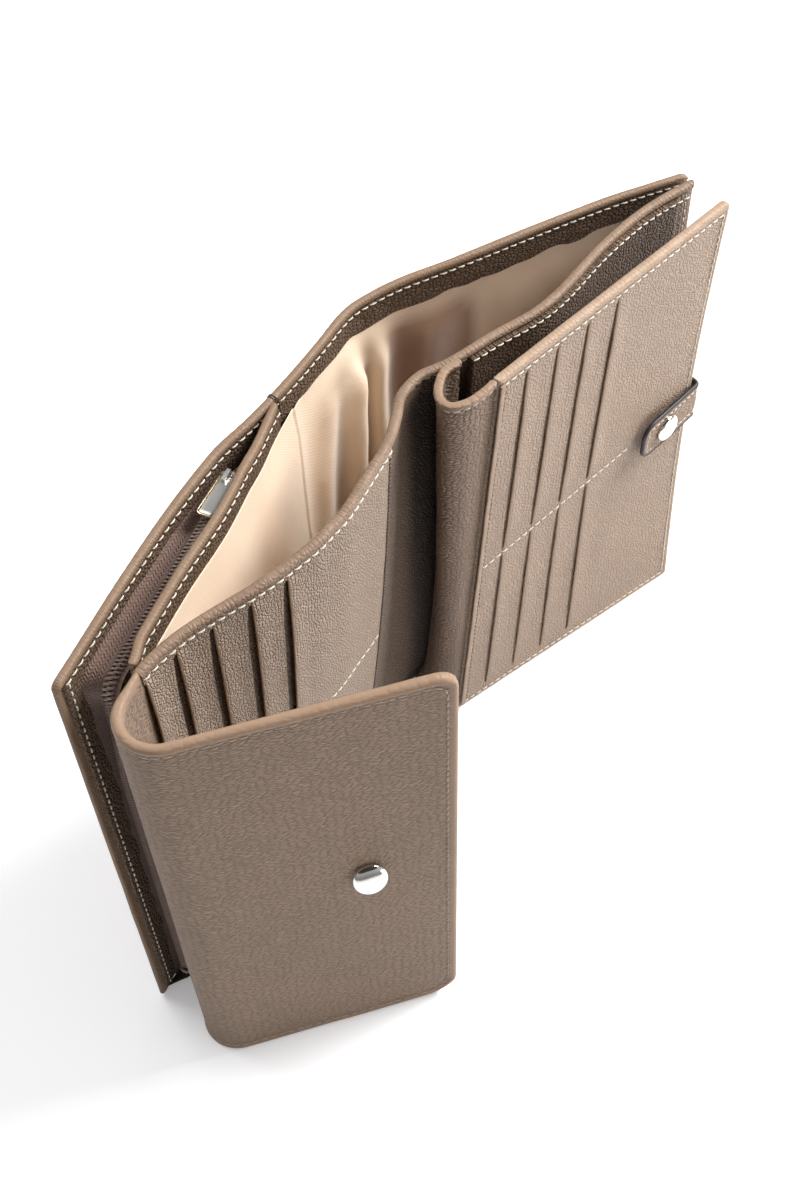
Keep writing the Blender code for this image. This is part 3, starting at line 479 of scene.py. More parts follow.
class Group:
    """A shader node group under construction, built once under its name and shared by materials."""

    def __init__(self, name: str, inputs: dict[str, float | None], outputs: Sequence[str]) -> None:
        """Make the group's sockets.

        Args:
            name: The group's name.
            inputs: The default of each input, or None for a vector.
            outputs: The name of each output, a plain number.
        """
        self.tree = bpy.data.node_groups.new(name, "ShaderNodeTree")
        for label, default in inputs.items():
            kind = "NodeSocketVector" if default is None else "NodeSocketFloat"
            socket = self.tree.interface.new_socket(label, in_out="INPUT", socket_type=kind)
            if default is not None:
                socket.default_value = default
        for label in outputs:
            self.tree.interface.new_socket(label, in_out="OUTPUT", socket_type="NodeSocketFloat")
        self.inputs = tuple(self.tree.nodes.new("NodeGroupInput").outputs)[:len(inputs)]
        self.sink = self.tree.nodes.new("NodeGroupOutput")
        self.wiring = Wiring(self.tree)

    def closed(self, *values: NodeSocket) -> NodeTree:
        """Join the outputs and hand the group on.

        Args:
            values: The sockets to put out, in order.

        Returns:
            The finished group.
        """
        for value, target in zip(values, self.sink.inputs):
            self.wiring.put(value, target)
        return self.tree


def grain_group() -> NodeTree:
    """Pebbled leather grain: plump cells between creases, flatter on a stretched rim.

    Returns:
        The group.
    """
    group = Group("leather_grain", {"Vector": None, "Cells": 800.0, "Depth": 1.0, "Rim": 0.0, "Stretch": 1.0},
                  ("Height", "Crease"))
    w = group.wiring
    vector, cells, depth, rim, stretch = group.inputs
    wander = w.noise(vector, w.times(cells, 0.45)).outputs[1]
    shift = w.vector("SUBTRACT", wander, in1=(0.5, 0.5, 0.5))
    place = w.vector("ADD", vector, in1=w.vector("SCALE", shift, Scale=w.math("DIVIDE", 0.45, cells)))
    scale = w.node("CombineXYZ", X=w.math("DIVIDE", 1.0, stretch), Y=1.15, Z=1.0).outputs[0]
    laid = w.vector("MULTIPLY", place, in1=scale)

    def edges(share: float, width: float) -> NodeSocket:
        """Creases between cells.

        Args:
            share: The share of the plain count of cells.
            width: How wide the creases are.

        Returns:
            0 in a crease, rising to 1 beside it.
        """
        made = w.node("TexVoronoi", {"feature": "DISTANCE_TO_EDGE", "voronoi_dimensions": "2D"}, Vector=laid,
                      Scale=w.times(cells, share), Randomness=0.95)
        return w.ramp(made.outputs[0], 0.0, width)

    body = w.plus(w.times(edges(1.0, 0.32), 0.78), w.times(edges(0.40, 0.09), 0.22))
    flat = w.rest(w.times(rim, 0.78))
    pores = w.times(w.noise(vector, 5200.0, 1.0).outputs[0], 0.05)
    height = w.plus(w.times(w.times(body, depth), flat), pores)
    return group.closed(height, w.times(w.rest(body), flat))


def wear_group() -> NodeTree:
    """Edge wear and handling marks: a broken mask along rims, and slow changes of tone over a surface.

    Returns:
        The group.
    """
    group = Group("edge_wear", {"Vector": None, "Rim": 0.0, "Amount": 1.0}, ("Wear", "Tone"))
    w = group.wiring
    vector, rim, amount = group.inputs
    broken = w.ramp(w.noise(vector, 160.0, 4.0).outputs[0], 0.25, 0.65, 0.55, 1.0)
    slow, quick = w.noise(vector, 22.0).outputs[0], w.noise(vector, 130.0, 3.0).outputs[0]
    tone = w.plus(w.times(slow, 0.65), w.times(quick, 0.35))
    return group.closed(w.times(w.times(rim, broken), amount), tone)


def weave_group() -> NodeTree:
    """Ribs of thread across a cloth, straight for twill or waving for zip tape.

    Returns:
        The group.
    """
    group = Group("weave", {"Vector": None, "Ribs": 1700.0, "Slant": 1.0, "Wave": 0.0}, ("Height", "Rib"))
    w = group.wiring
    vector, ribs, slant, wave = group.inputs
    u, v = tuple(w.node("SeparateXYZ", Vector=vector).outputs)[:2]
    bend = w.times(w.math("SINE", w.times(v, 3600.0)), wave)
    run = w.plus(w.plus(u, w.times(v, slant)), bend)
    wander = w.times(w.noise(vector, 240.0).outputs[0], 0.0006)
    rib = w.math("SINE", w.times(w.plus(run, wander), w.times(ribs, math.tau)))
    threads = w.math("SINE", w.times(w.math("SUBTRACT", u, v), w.times(ribs, 9.0)))
    both = w.plus(w.times(rib, 0.36), w.times(threads, 0.14))
    return group.closed(w.plus(both, 0.5), w.ramp(rib, -1.0, 1.0))


@dataclass(frozen=True)
class Shared:
    """The node groups that materials share, each built once."""

    grain: NodeTree = field(default_factory=grain_group)
    wear: NodeTree = field(default_factory=wear_group)
    weave: NodeTree = field(default_factory=weave_group)


def tinted(colour: Triple, share: float = 1.0) -> tuple[float, float, float, float]:
    """A colour scaled by a share, as a shader takes it."""
    return (*(c * share for c in colour), 1)


@dataclass(frozen=True)
class Look:
    """What every finish has: a name, a colour and a way to become a material."""

    name: str
    colour: Triple
    roughness: float = 0.6

    def material(self, shared: Shared | None = None) -> Material:
        """Build the finish as a material.

        Args:
            shared: The node groups to use, not needed for a bare colour.

        Returns:
            The material.
        """
        material = bpy.data.materials.new(self.name)
        material.use_nodes = True
        shader = material.node_tree.nodes["Principled BSDF"]
        w = Wiring(material.node_tree)
        for label, value in {"Roughness": self.roughness, **self.sockets(w, shared)}.items():
            w.put(value, shader.inputs[label])
        return material

    def sockets(self, w: Wiring, shared: Shared | None) -> dict[str, object]:
        """The shader's inputs, as sockets or values."""
        return {"Base Color": tinted(self.colour)}

    def tone(self, w: Wiring, shared: Shared | None, place: object) -> NodeSocket:
        """Slow changes between 0 and 1 over the surface."""
        return w.group(shared.wear, Vector=place, Rim=0.0, Amount=0.0).outputs[1]


@dataclass(frozen=True)
class Leather(Look):
    """A grained leather finish with paler, smoother turned rims."""

    roughness: float = 0.52
    rim: Triple = (0.0, 0.0, 0.0)
    cell: float = 0.0011
    depth: float = 1.0
    bump: float = 0.00045
    crease_dark: float = 0.60
    stretch: float = 1.0
    # painted shade: the near-black colour that gaps and hollows are darkened to
    shade: Triple = (0.012, 0.008, 0.006)

    def sockets(self, w: Wiring, shared: Shared | None) -> dict[str, object]:
        """The shader's inputs: pebbles with dark creases, worn rims, and painted shade in gaps and hollows.

        Args:
            w: The material's wiring.
            shared: The node groups to use.

        Returns:
            A value or socket for each input.
        """
        place = w.node("UVMap", {"uv_map": "surface"}).outputs[0]
        at_rim = w.stored("rim")
        relief, crease = w.group(shared.grain, Vector=place, Cells=1 / self.cell, Depth=self.depth,
                                 Rim=at_rim, Stretch=self.stretch).outputs
        wear, tone = w.group(shared.wear, Vector=place, Rim=at_rim, Amount=1.0).outputs
        body = w.mix(w.ramp(tone, 0.3, 0.7), tinted(self.colour, 0.93), tinted(self.colour, 1.06))
        creased = w.mix(crease, body, tinted(self.colour, self.crease_dark))
        worn = w.mix(wear, creased, tinted(self.rim))
        # painted shade: the stored shade value darkens the colour towards the shade colour
        return {
            "Base Color": w.mix(w.stored("painted_shade"), worn, tinted(self.shade)),
            "Roughness": w.plus(w.times(crease, 0.22), self.roughness - 0.06),
            "Normal": w.bump(relief, self.bump),
            "Specular IOR Level": 0.3,
        }


@dataclass(frozen=True)
class Cloth(Look):
    """A woven finish: satin with a fine twill, or the ribbed tape of a zip."""

    roughness: float = 0.36
    shade: Triple = (0.0, 0.0, 0.0)
    ribs: float = 1700.0
    slant: float = 1.0
    wave: float = 0.0
    bump: float = 0.00005
    sheen: float = 0.3
    # painted shade: the colour that the satin is darkened to between its folds and behind the card wall
    hollow: Triple = (0.0, 0.0, 0.0)

    def sockets(self, w: Wiring, shared: Shared | None) -> dict[str, object]:
        """The shader's inputs: ribs of thread with darker gaps, and painted shade in hollows where the mesh
        stores it.

        Args:
            w: The material's wiring.
            shared: The node groups to use.

        Returns:
            A value or socket for each input.
        """
        place = w.node("UVMap", {"uv_map": "surface"}).outputs[0]
        relief, rib = w.group(shared.weave, Vector=place, Ribs=self.ribs, Slant=self.slant,
                              Wave=self.wave).outputs
        tone = w.ramp(self.tone(w, shared, place), 0.3, 0.7)
        toned = w.mix(tone, tinted(self.colour, 0.94), tinted(self.colour))
        woven = w.mix(w.times(w.rest(rib), 0.24), toned, tinted(self.shade))
        # painted shade: the stored shade value darkens the weave towards the hollow colour
        return {
            "Base Color": w.mix(w.stored("painted_shade"), woven, tinted(self.hollow)),
            "Normal": w.bump(relief, self.bump),
            "Sheen Weight": self.sheen,
            "Sheen Roughness": 0.4,
        }


@dataclass(frozen=True)
class Metal(Look):
    """Plated metal with faint handling marks."""

    roughness: float = 0.14
    scratch: float = 0.00001

    def sockets(self, w: Wiring, shared: Shared | None) -> dict[str, object]:
        """The shader's inputs: plate that is duller where it is handled.

        Args:
            w: The material's wiring.
            shared: The node groups to use.

        Returns:
            A value or socket for each input.
        """
        place = w.node("TexCoord").outputs["Object"]
        tone = self.tone(w, shared, place)
        return {
            "Base Color": w.mix(tone, tinted(self.colour), tinted(self.colour, 0.93)),
            "Roughness": w.ramp(tone, 0.3, 0.7, self.roughness * 0.8, self.roughness * 1.5),
            "Normal": w.bump(w.noise(place, 2600.0).outputs[0], self.scratch),
            "Metallic": 1.0,
        }


@dataclass(frozen=True)
class Plain(Look):
    """A small-scale finish for thread, coil, board and paint: slow tone changes and a fine fibre bump."""

    bump: float = 0.00003
    fibre: float = 3500.0
    spread: float = 0.25

    def sockets(self, w: Wiring, shared: Shared | None) -> dict[str, object]:
        """The shader's inputs: an even tone with fibres.

        Args:
            w: The material's wiring.
            shared: The node groups to use.

        Returns:
            A value or socket for each input.
        """
        place = w.node("TexCoord").outputs["Object"]
        tone = w.ramp(self.tone(w, shared, place), 0.3, 0.7)
        return {
            "Base Color": w.mix(tone, tinted(self.colour, 1 - self.spread), tinted(self.colour)),
            "Normal": w.bump(w.noise(place, self.fibre).outputs[0], self.bump),
        }


@dataclass(frozen=True)
class Finishes:
    """Every finish on the wallet, as built materials."""

    flap: Material
    cover: Material
    leaf: Material
    page: Material
    roll: Material
    fold: Material
    facing: Material
    satin: Material
    tape: Material
    coil: Material
    thread: Material
    toned_thread: Material
    brown_thread: Material
    black_thread: Material
    paint: Material
    board: Material
    chrome: Material
    nickel: Material
    gilt: Material

    @staticmethod
    def build() -> "Finishes":
        """Make the materials from the finishes.

        Returns:
            The materials.
        """
        shared = Shared()
        made = {
            "flap": Leather("flap_leather", (0.300, 0.203, 0.138), rim=(0.275, 0.178, 0.113), cell=0.00095,
                            depth=0.9, bump=0.00042, stretch=2.8),
            "cover": Leather("cover_leather", (0.265, 0.176, 0.117), rim=(0.205, 0.130, 0.080),
                             cell=0.0012, depth=0.9, bump=0.00045),
            "leaf": Leather("card_leather", (0.390, 0.285, 0.208), rim=(0.420, 0.298, 0.205), cell=0.0014,
                            bump=0.00062, stretch=0.8),
            "page": Leather("page_leather", (0.445, 0.325, 0.240), rim=(0.330, 0.228, 0.155), cell=0.0010,
                            bump=0.00052, stretch=1.6),
            "roll": Leather("roll_leather", (0.300, 0.202, 0.138), rim=(0.260, 0.170, 0.110), cell=0.0012,
                            depth=1.1, bump=0.00075, stretch=1.8),
            # painted shade: the card wall's leather is darker than the other leathers for the shade it lies
            # in by the fold and the roll
            "fold": Leather("painted_shade_wall_leather", (0.150, 0.096, 0.061), rim=(0.235, 0.155, 0.103), cell=0.0014,
                            depth=1.1, bump=0.0006),
            "facing": Leather("facing_leather", (0.165, 0.104, 0.064), rim=(0.170, 0.108, 0.066),
                              cell=0.0015, bump=0.00045, crease_dark=0.30),
            "satin": Cloth("champagne_satin", (0.900, 0.735, 0.560), 0.27, (0.50, 0.35, 0.25), ribs=1500.0,
                           sheen=0.5, bump=0.00005, hollow=(0.225, 0.135, 0.088)),
            "tape": Cloth("zip_tape_weave", (0.180, 0.108, 0.082), 0.7, (0.045, 0.023, 0.018), ribs=800.0,
                          slant=0.0, wave=0.00045, bump=0.00030, sheen=0.15),
            "coil": Plain("coil_nylon", (0.300, 0.215, 0.185), 0.28, 0.00001),
            "thread": Plain("pale_thread", (0.780, 0.700, 0.590), 0.62),
            "toned_thread": Plain("taupe_thread", (0.430, 0.345, 0.270), 0.62),
            "brown_thread": Plain("brown_thread", (0.085, 0.055, 0.038), 0.55),
            "black_thread": Plain("black_thread", (0.012, 0.011, 0.012), 0.5),
            "paint": Plain("edge_paint", (0.024, 0.019, 0.022), 0.5, 0.00002, 900.0),
            "board": Plain("stiffening_board", (0.42, 0.36, 0.28), 0.8, 0.00004),
            "chrome": Metal("polished_plate", (0.80, 0.775, 0.73), 0.09),
            "nickel": Metal("satin_nickel", (0.80, 0.785, 0.75), 0.24, 0.00002),
            "gilt": Metal("pale_gilt", (0.83, 0.70, 0.48), 0.2),
        }
        return Finishes(**{key: look.material(shared) for key, look in made.items()})


def make_object(
    name: str,
    points: Sequence[Vector],
    faces: Sequence[Sequence[int]],
    material: Material,
    places: Pairs | None = None,
    stored: dict[str, Sequence[float]] | None = None,
    sharp: float = 60.0,
) -> Object:
    """Make a smooth mesh object.

    Args:
        name: The piece's name.
        points: Its vertices in the row frame.
        faces: Its faces as vertex numbers.
        material: Its material.
        places: Each vertex's place on the surface, in metres.
        stored: Values at each vertex for the material, such as how much it belongs to a turned rim.
        sharp: The angle over which an edge stays sharp, in degrees.

    Returns:
        The object, linked to the scene.
    """
    mesh = bpy.data.meshes.new(name)
    mesh.from_pydata([tuple(p) for p in points], [], [tuple(f) for f in faces])
    if places is not None:
        layer = mesh.uv_layers.new(name="surface")
        for loop in mesh.loops:
            layer.data[loop.index].uv = places[loop.vertex_index]
    for label, values in (stored or {}).items():
        mesh.attributes.new(label, "FLOAT", "POINT").data.foreach_set("value", list(values))
    work = bmesh.new()
    work.from_mesh(mesh)
    bmesh.ops.recalc_face_normals(work, faces=work.faces)
    work.to_mesh(mesh)
    work.free()
    mesh.shade_smooth()
    mesh.set_sharp_from_angle(angle=math.radians(sharp))
    item = bpy.data.objects.new(name, mesh)
    bpy.context.scene.collection.objects.link(item)
    mesh.materials.append(material)
    return item


def shell_faces(columns: int, tall: int) -> list[tuple[int, ...]]:
    """Faces of a thin closed shell: a grid of points, column by column, and the same grid behind it.

    Args:
        columns: How many columns the grid has.
        tall: How many points a column has.

    Returns:
        The faces.
    """
    other = columns * tall
    faces: list[tuple[int, ...]] = []
    for i in range(columns - 1):
        for a in range(i * tall, (i + 1) * tall - 1):
            b = a + tall
            faces += [(a, b, b + 1, a + 1), (a + 1 + other, b + 1 + other, b + other, a + other)]
        for a in (i * tall, (i + 1) * tall - 1):
            faces.append((a, a + other, a + tall + other, a + tall))
    for first in (0, other - tall):
        for a in range(first, first + tall - 1):
            faces.append((a, a + 1, a + 1 + other, a + other))
    return faces


def ring_faces(rings: int, count: int, first: int = 0) -> list[tuple[int, ...]]:
    """Faces that join rings of points, each ring to the next.

    Args:
        rings: How many rings there are.
        count: How many points a ring has.
        first: The first ring's first point.

    Returns:
        The faces.
    """
    faces = []
    for ring in range(rings - 1):
        for i in range(count):
            a, b = first + ring * count + i, first + ring * count + (i + 1) % count
            faces.append((a, b, b + count, a + count))
    return faces


@dataclass
class Panel:
    """A panel of leather or cloth between two faces, with rounded edges.

    face and back give the offsets of its two faces at a key and a height. Sides in cut have no rounding,
    because another panel goes on there. Sides in rims have a turned rim. corners are the radii of the two
    top corners, then of the two lower ones. Its last field gives how much shade is painted into a place's
    colour.
    """

    name: str
    line: Line
    start: float
    end: float
    face: Offset
    back: Offset
    material: Material
    low: float = 0.0
    high: float = HEIGHT
    edge: float = 0.0008
    cut: Sides = frozenset()
    rims: Sides = frozenset()
    rim_width: float = 0.0026
    corners: tuple[float, float, float, float] = (0.0, 0.0, 0.0, 0.0)
    step: float = 0.0016
    row_step: float = 0.0045
    keys: tuple[float, ...] = ()
    rows: tuple[float, ...] = ()
    painted_shade: Offset | None = None

    EDGE_STEPS = (0.0, 0.06, 0.22, 0.5, 1.0)
    RIM_STEPS = (0.0012, 0.0018, 0.0024, 0.0030, 0.0036, 0.0046, 0.0060)
    CLOSEST = 0.02 * MM
    FAR = 1.0

    def _spread(self, low: float, high: float, step: float, ends: tuple[Side, Side],
                more: Sequence[float]) -> list[float]:
        """Places between two ends, close together at rounded ends and turned rims.

        Args:
            low: The first place.
            high: The last place.
            step: The widest step between.
            ends: The sides at the first place and at the last.
            more: Further places to keep.

        Returns:
            The places in order.
        """
        fine = [share * self.edge for share in self.EDGE_STEPS] + [s for s in self.RIM_STEPS if s > self.edge]
        places = between(low, high, max(2, round((high - low) / step))) + [m for m in more if low < m < high]
        for side, base, sign in zip(ends, (low, high), (1, -1)):
            if side not in self.cut:
                reach = self.RIM_STEPS[-1]
                places = [p for p in places if not 0 < (p - base) * sign < reach or p in more]
                places += [base + sign * f for f in fine if f < high - low]
        ordered = sorted(set(places))
        kept = [ordered[0]]
        for place in ordered[1:]:
            if place - kept[-1] > self.CLOSEST:
                kept.append(place)
        return kept

    def _drop(self, key: float, radii: tuple[float, float]) -> float:
        """How far a rounded corner draws the outline in at a key.

        Args:
            key: The place along the line.
            radii: The radii at the start and at the end.

        Returns:
            The distance from the plain edge.
        """
        deepest = 0.0
        for radius, away in zip(radii, (key - self.start, self.end - key)):
            if radius and away < radius:
                inward = radius - max(away, 0.0)
                deepest = max(deepest, radius - math.sqrt(max(radius ** 2 - inward ** 2, 0.0)))
        return deepest

    def _away(self, sides: Sides, key: float, height: float) -> float:
        """The distance to the nearest of some sides.

        Args:
            sides: The sides that count.
            key: The place along the line.
            height: The height.

        Returns:
            The distance, or FAR without any side.
        """
        away = {Side.START: key - self.start, Side.END: self.end - key, Side.TOP: self.high - height,
                Side.FOOT: height - self.low}
        return min((away[side] for side in sides), default=self.FAR)

    def build(self) -> Object:
        """Make the panel's mesh object.

        Returns:
            The mesh object.
        """
        keys = self._spread(self.start, self.end, self.step, (Side.START, Side.END), self.keys)
        rows = self._spread(self.low, self.high, self.row_step, (Side.FOOT, Side.TOP), self.rows)
        runs = lengths_along([self.line(key, HEIGHT) for key in keys])
        middle = (self.low + self.high) / 2
        fronts: list[Vector] = []
        backs: list[Vector] = []
        places: list[tuple[float, float]] = []
        rims: list[float] = []
        painted_shades: list[float] = []
        for key, run in zip(keys, runs):
            down, up = self._drop(key, self.corners[:2]), self._drop(key, self.corners[2:])
            for row in rows:
                if row > middle:
                    height = row - down * smooth(row, middle, self.high)
                else:
                    height = row + up * (1 - smooth(row, self.low, middle))
                near = self._away(ALL_SIDES - self.cut, key, row)
                plump = 1.0 if near >= self.edge else max(math.sqrt(1 - (1 - near / self.edge) ** 2), 0.04)
                face, back = self.face(key, height), self.back(key, height)
                mid, half = (face + back) / 2, (face - back) / 2 * plump
                normal, spot = outward(self.line, key, height), self.line(key, height)
                fronts.append(spot + (mid + half) * normal)
                backs.append(spot + (mid - half) * normal)
                places.append((run, height))
                to_rim = self._away(self.rims, key, row)
                rims.append(1 - smooth(to_rim, 0.7 * self.rim_width, 1.15 * self.rim_width))
                # painted shade: how much this point's colour is darkened for the shade that falls there
                painted_shades.append(self.painted_shade(key, height) if self.painted_shade else 0.0)
        stored = {"rim": rims * 2, "painted_shade": painted_shades * 2} if self.painted_shade else {"rim": rims * 2}
        faces = shell_faces(len(keys), len(rows))
        return make_object(self.name, fronts + backs, faces, self.material, places * 2, stored)


def constant(value: float) -> Offset:
    """An offset that is the same all over."""
    return lambda key, height: value


@dataclass
class Thread:
    """Rows of stitches or other tubes, gathered into one piece."""

    name: str
    material: Material
    radius: float = 0.00026
    length: float = 0.0023
    pitch: float = 0.0031
    sides: int = 6
    points: list[Vector] = field(default_factory=list)
    faces: list[tuple[int, ...]] = field(default_factory=list)

    RISE = ((0.0, -1.1, 0.6), (0.10, 0.15, 0.9), (0.5, 0.55, 1.0), (0.90, 0.15, 0.9), (1.0, -1.1, 0.6))
    SLANT = 0.08

    def tube(self, spots: Sequence[Vector], ups: Sequence[Vector], radii: Sequence[float]) -> None:
        """Add a closed tube through points.

        Args:
            spots: The points of its middle line.
            ups: A direction away from the surface at each.
            radii: Its radius at each.
        """
        first, last = len(self.points), len(spots) - 1
        for index, (spot, up, radius) in enumerate(zip(spots, ups, radii)):
            along = (spots[min(index + 1, last)] - spots[max(index - 1, 0)]).normalized()
            side = along.cross(up).normalized()
            top = side.cross(along)
            for turn in range(self.sides):
                angle = math.tau * turn / self.sides
                self.points.append(spot + radius * (math.cos(angle) * side + math.sin(angle) * top))
        self.faces += ring_faces(len(spots), self.sides, first)
        end = first + last * self.sides
        self.faces += [tuple(range(first, first + self.sides)), tuple(reversed(range(end, end + self.sides)))]

    def sew(self, path: Row) -> None:
        """Sew a row of stitches along a path, each leaning a little to one side.

        Args:
            path: Points on the surface with the direction away from it, close together.
        """
        lengths = lengths_along([spot for spot, _ in path])
        count = max(1, round(lengths[-1] / self.pitch))
        pitch = lengths[-1] / count
        for number in range(count):
            begin = pitch * number + (pitch - self.length) / 2
            spots, ups, radii = [], [], []
            for share, rise, thick in self.RISE:
                index, part = place_in(lengths, begin + self.length * share)
                (near, near_up), (far, far_up) = path[index], path[index + 1]
                up = near_up.lerp(far_up, part).normalized()
                across = (far - near).normalized().cross(up)
                lean = across * self.length * self.SLANT * (share - 0.5)
                spots.append(near.lerp(far, part) + up * self.radius * rise + lean)
                ups.append(up)
                radii.append(self.radius * thick)
            self.tube(spots, ups, radii)

    def build(self) -> Object:
        """Make the stitches' mesh object."""
        return make_object(self.name, self.points, self.faces, self.material)


def row_on(line: Line, marks: Pairs, offset: Offset, sign: int) -> Row:
    """Points of a row of stitches on a panel's face.

    Args:
        line: The panel's line.
        marks: The key and height of each point.
        offset: The face's offset.
        sign: 1 on the face towards positive offsets, -1 on the other.

    Returns:
        Pairs of a point and the direction away from the surface.
    """
    row = []
    for key, height in marks:
        normal = outward(line, key, height)
        row.append((line(key, height) + offset(key, height) * normal, sign * normal))
    return row


def level_row(line: Line, start: float, end: float, height: float, offset: Offset, sign: int) -> Row:
    """A level row of stitches between two keys, as row_on gives it."""
    keys = between(start, end, max(2, round(abs(end - start) / LEVEL_STEP)))
    return row_on(line, [(key, height) for key in keys], offset, sign)


def upright_row(line: Line, key: float, low: float, high: float, offset: Offset, sign: int) -> Row:
    """An upright row of stitches between two heights, as row_on gives it."""
    heights = between(low, high, max(2, round((high - low) / UPRIGHT_STEP)))
    return row_on(line, [(key, height) for height in heights], offset, sign)


def corner_marks(hub: tuple[float, float], radius: float, turns: Sequence[float], rising: bool) -> Pairs:
    """Marks round a corner: from the top side to the tip, or from the tip on to the foot.

    Args:
        hub: The corner's centre.
        radius: The corner's radius.
        turns: The angles of the marks.
        rising: Whether the corner leads from the top side.

    Returns:
        The marks.
    """
    if rising:
        return [(hub[0] + radius * math.sin(a), hub[1] + radius * math.cos(a)) for a in turns]
    return [(hub[0] + radius * math.cos(a), hub[1] - radius * math.sin(a)) for a in turns]


@dataclass(frozen=True)
class Bend:
    """Where a soft piece bends from one body to another."""

    near: str
    far: str
    start: Triple
    end: Triple


TO_POCKET = Bend("left_leaf", "pocket_cover", (-0.0362, 0, 0), (-0.052, 0, 0))
ROUND_SPINE = Bend("left_leaf", "right_leaf", (-0.030, 0, 0), (0.014, 0, 0))
ACROSS_FOLD = Bend("left_leaf", "right_leaf", (-0.016, 0, 0), (0.024, 0, 0))


@dataclass
class Workshop:
    """What every sub-assembly needs: the plan and the finishes."""

    plan: Plan
    finish: Finishes
    stitch_in: float = 0.0031
    stitch_pitch: float = 0.0031
    groove: float = 0.00022
    groove_wide: float = 0.0009
    roll_from: float = 0.0017
    roll_to: float = 0.0031
    scallop: float = 0.00003
    facing_foot: float = 0.0006
    facing_top: float = HEIGHT - 2.2 * MM
    facing_thin: float = 0.00035
    broad_dent: float = 0.00016
    fine_dent: float = 0.00006

    def set_in(self, piece: Object, where: str | Bend, *nodes: str, slot: str = "") -> None:
        """Log a finished piece, hide the nodes that it stands for, and parent it to its body or bake its
        place.

        Args:
            piece: The piece.
            where: The body that it is parented to, or its bend between two, where only its place is baked in.
            *nodes: The nodes that it stands for.
            slot: The node whose slot it would take, where that isn't the last of them; not used.
        """
        log.info("%s: %d vertices", piece.name, len(piece.data.vertices))
        if nodes:
            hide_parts(*nodes)
        if nodes or slot:
            slot or nodes[-1]
        if isinstance(where, Bend):
            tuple(where.start)
            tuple(where.end)
            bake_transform(piece)
        else:
            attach(piece, where)

    def rolled(self, plain: float, rim: float, seed: float) -> Offset:
        """The face of a panel whose top edge is rolled, with a groove along its stitches.

        Args:
            plain: The offset below the rim.
            rim: The offset at the rim's widest.
            seed: Picks the panel's own unevenness.

        Returns:
            The face's offset.
        """
        sign = 1.0 if plain >= 0 else -1.0

        def offset(key: float, height: float) -> float:
            """The rolled face's offset.

            Args:
                key: The place along the line.
                height: The height.

            Returns:
                The offset.
            """
            down = HEIGHT - height
            roll = 1 - smooth(down, self.roll_from, self.roll_to)
            pull = self.groove * bell(down - self.stitch_in, self.groove_wide)
            scallop = self.scallop * math.sin(math.tau * key / self.stitch_pitch) * roll
            broad, fine = ripple(key, height, 0.018, seed), ripple(key, height, 0.006, seed + 9)
            uneven = self.broad_dent * broad + self.fine_dent * fine
            return plain + (rim - plain) * roll - sign * (pull - scallop) + uneven

        return offset

    def strip(self, name: str, line: Line, span: tuple[float, float], low: float, cut: Sides,
              stand: float, rough: Triple) -> Object:
        """A facing strip under a rim, with a slightly ragged lower edge.

        Args:
            name: The piece's name.
            line: The line that it follows.
            span: Its first key and its last.
            low: Its lower edge.
            cut: The sides that have no rounding.
            stand: The offset of its face.
            rough: The depth, size and seed of its unevenness.

        Returns:
            The strip.
        """
        depth, size, seed = rough

        def face(key: float, height: float) -> float:
            """The front's offset."""
            thin = self.facing_thin * (1 - smooth(height, low, low + 4 * MM))
            return stand + depth * ripple(key, height, size, seed) - thin

        return Panel(name, line, *span, face, constant(self.facing_foot), self.finish.facing, low=low,
                     high=self.facing_top, edge=0.0006, cut=cut, row_step=0.0015).build()


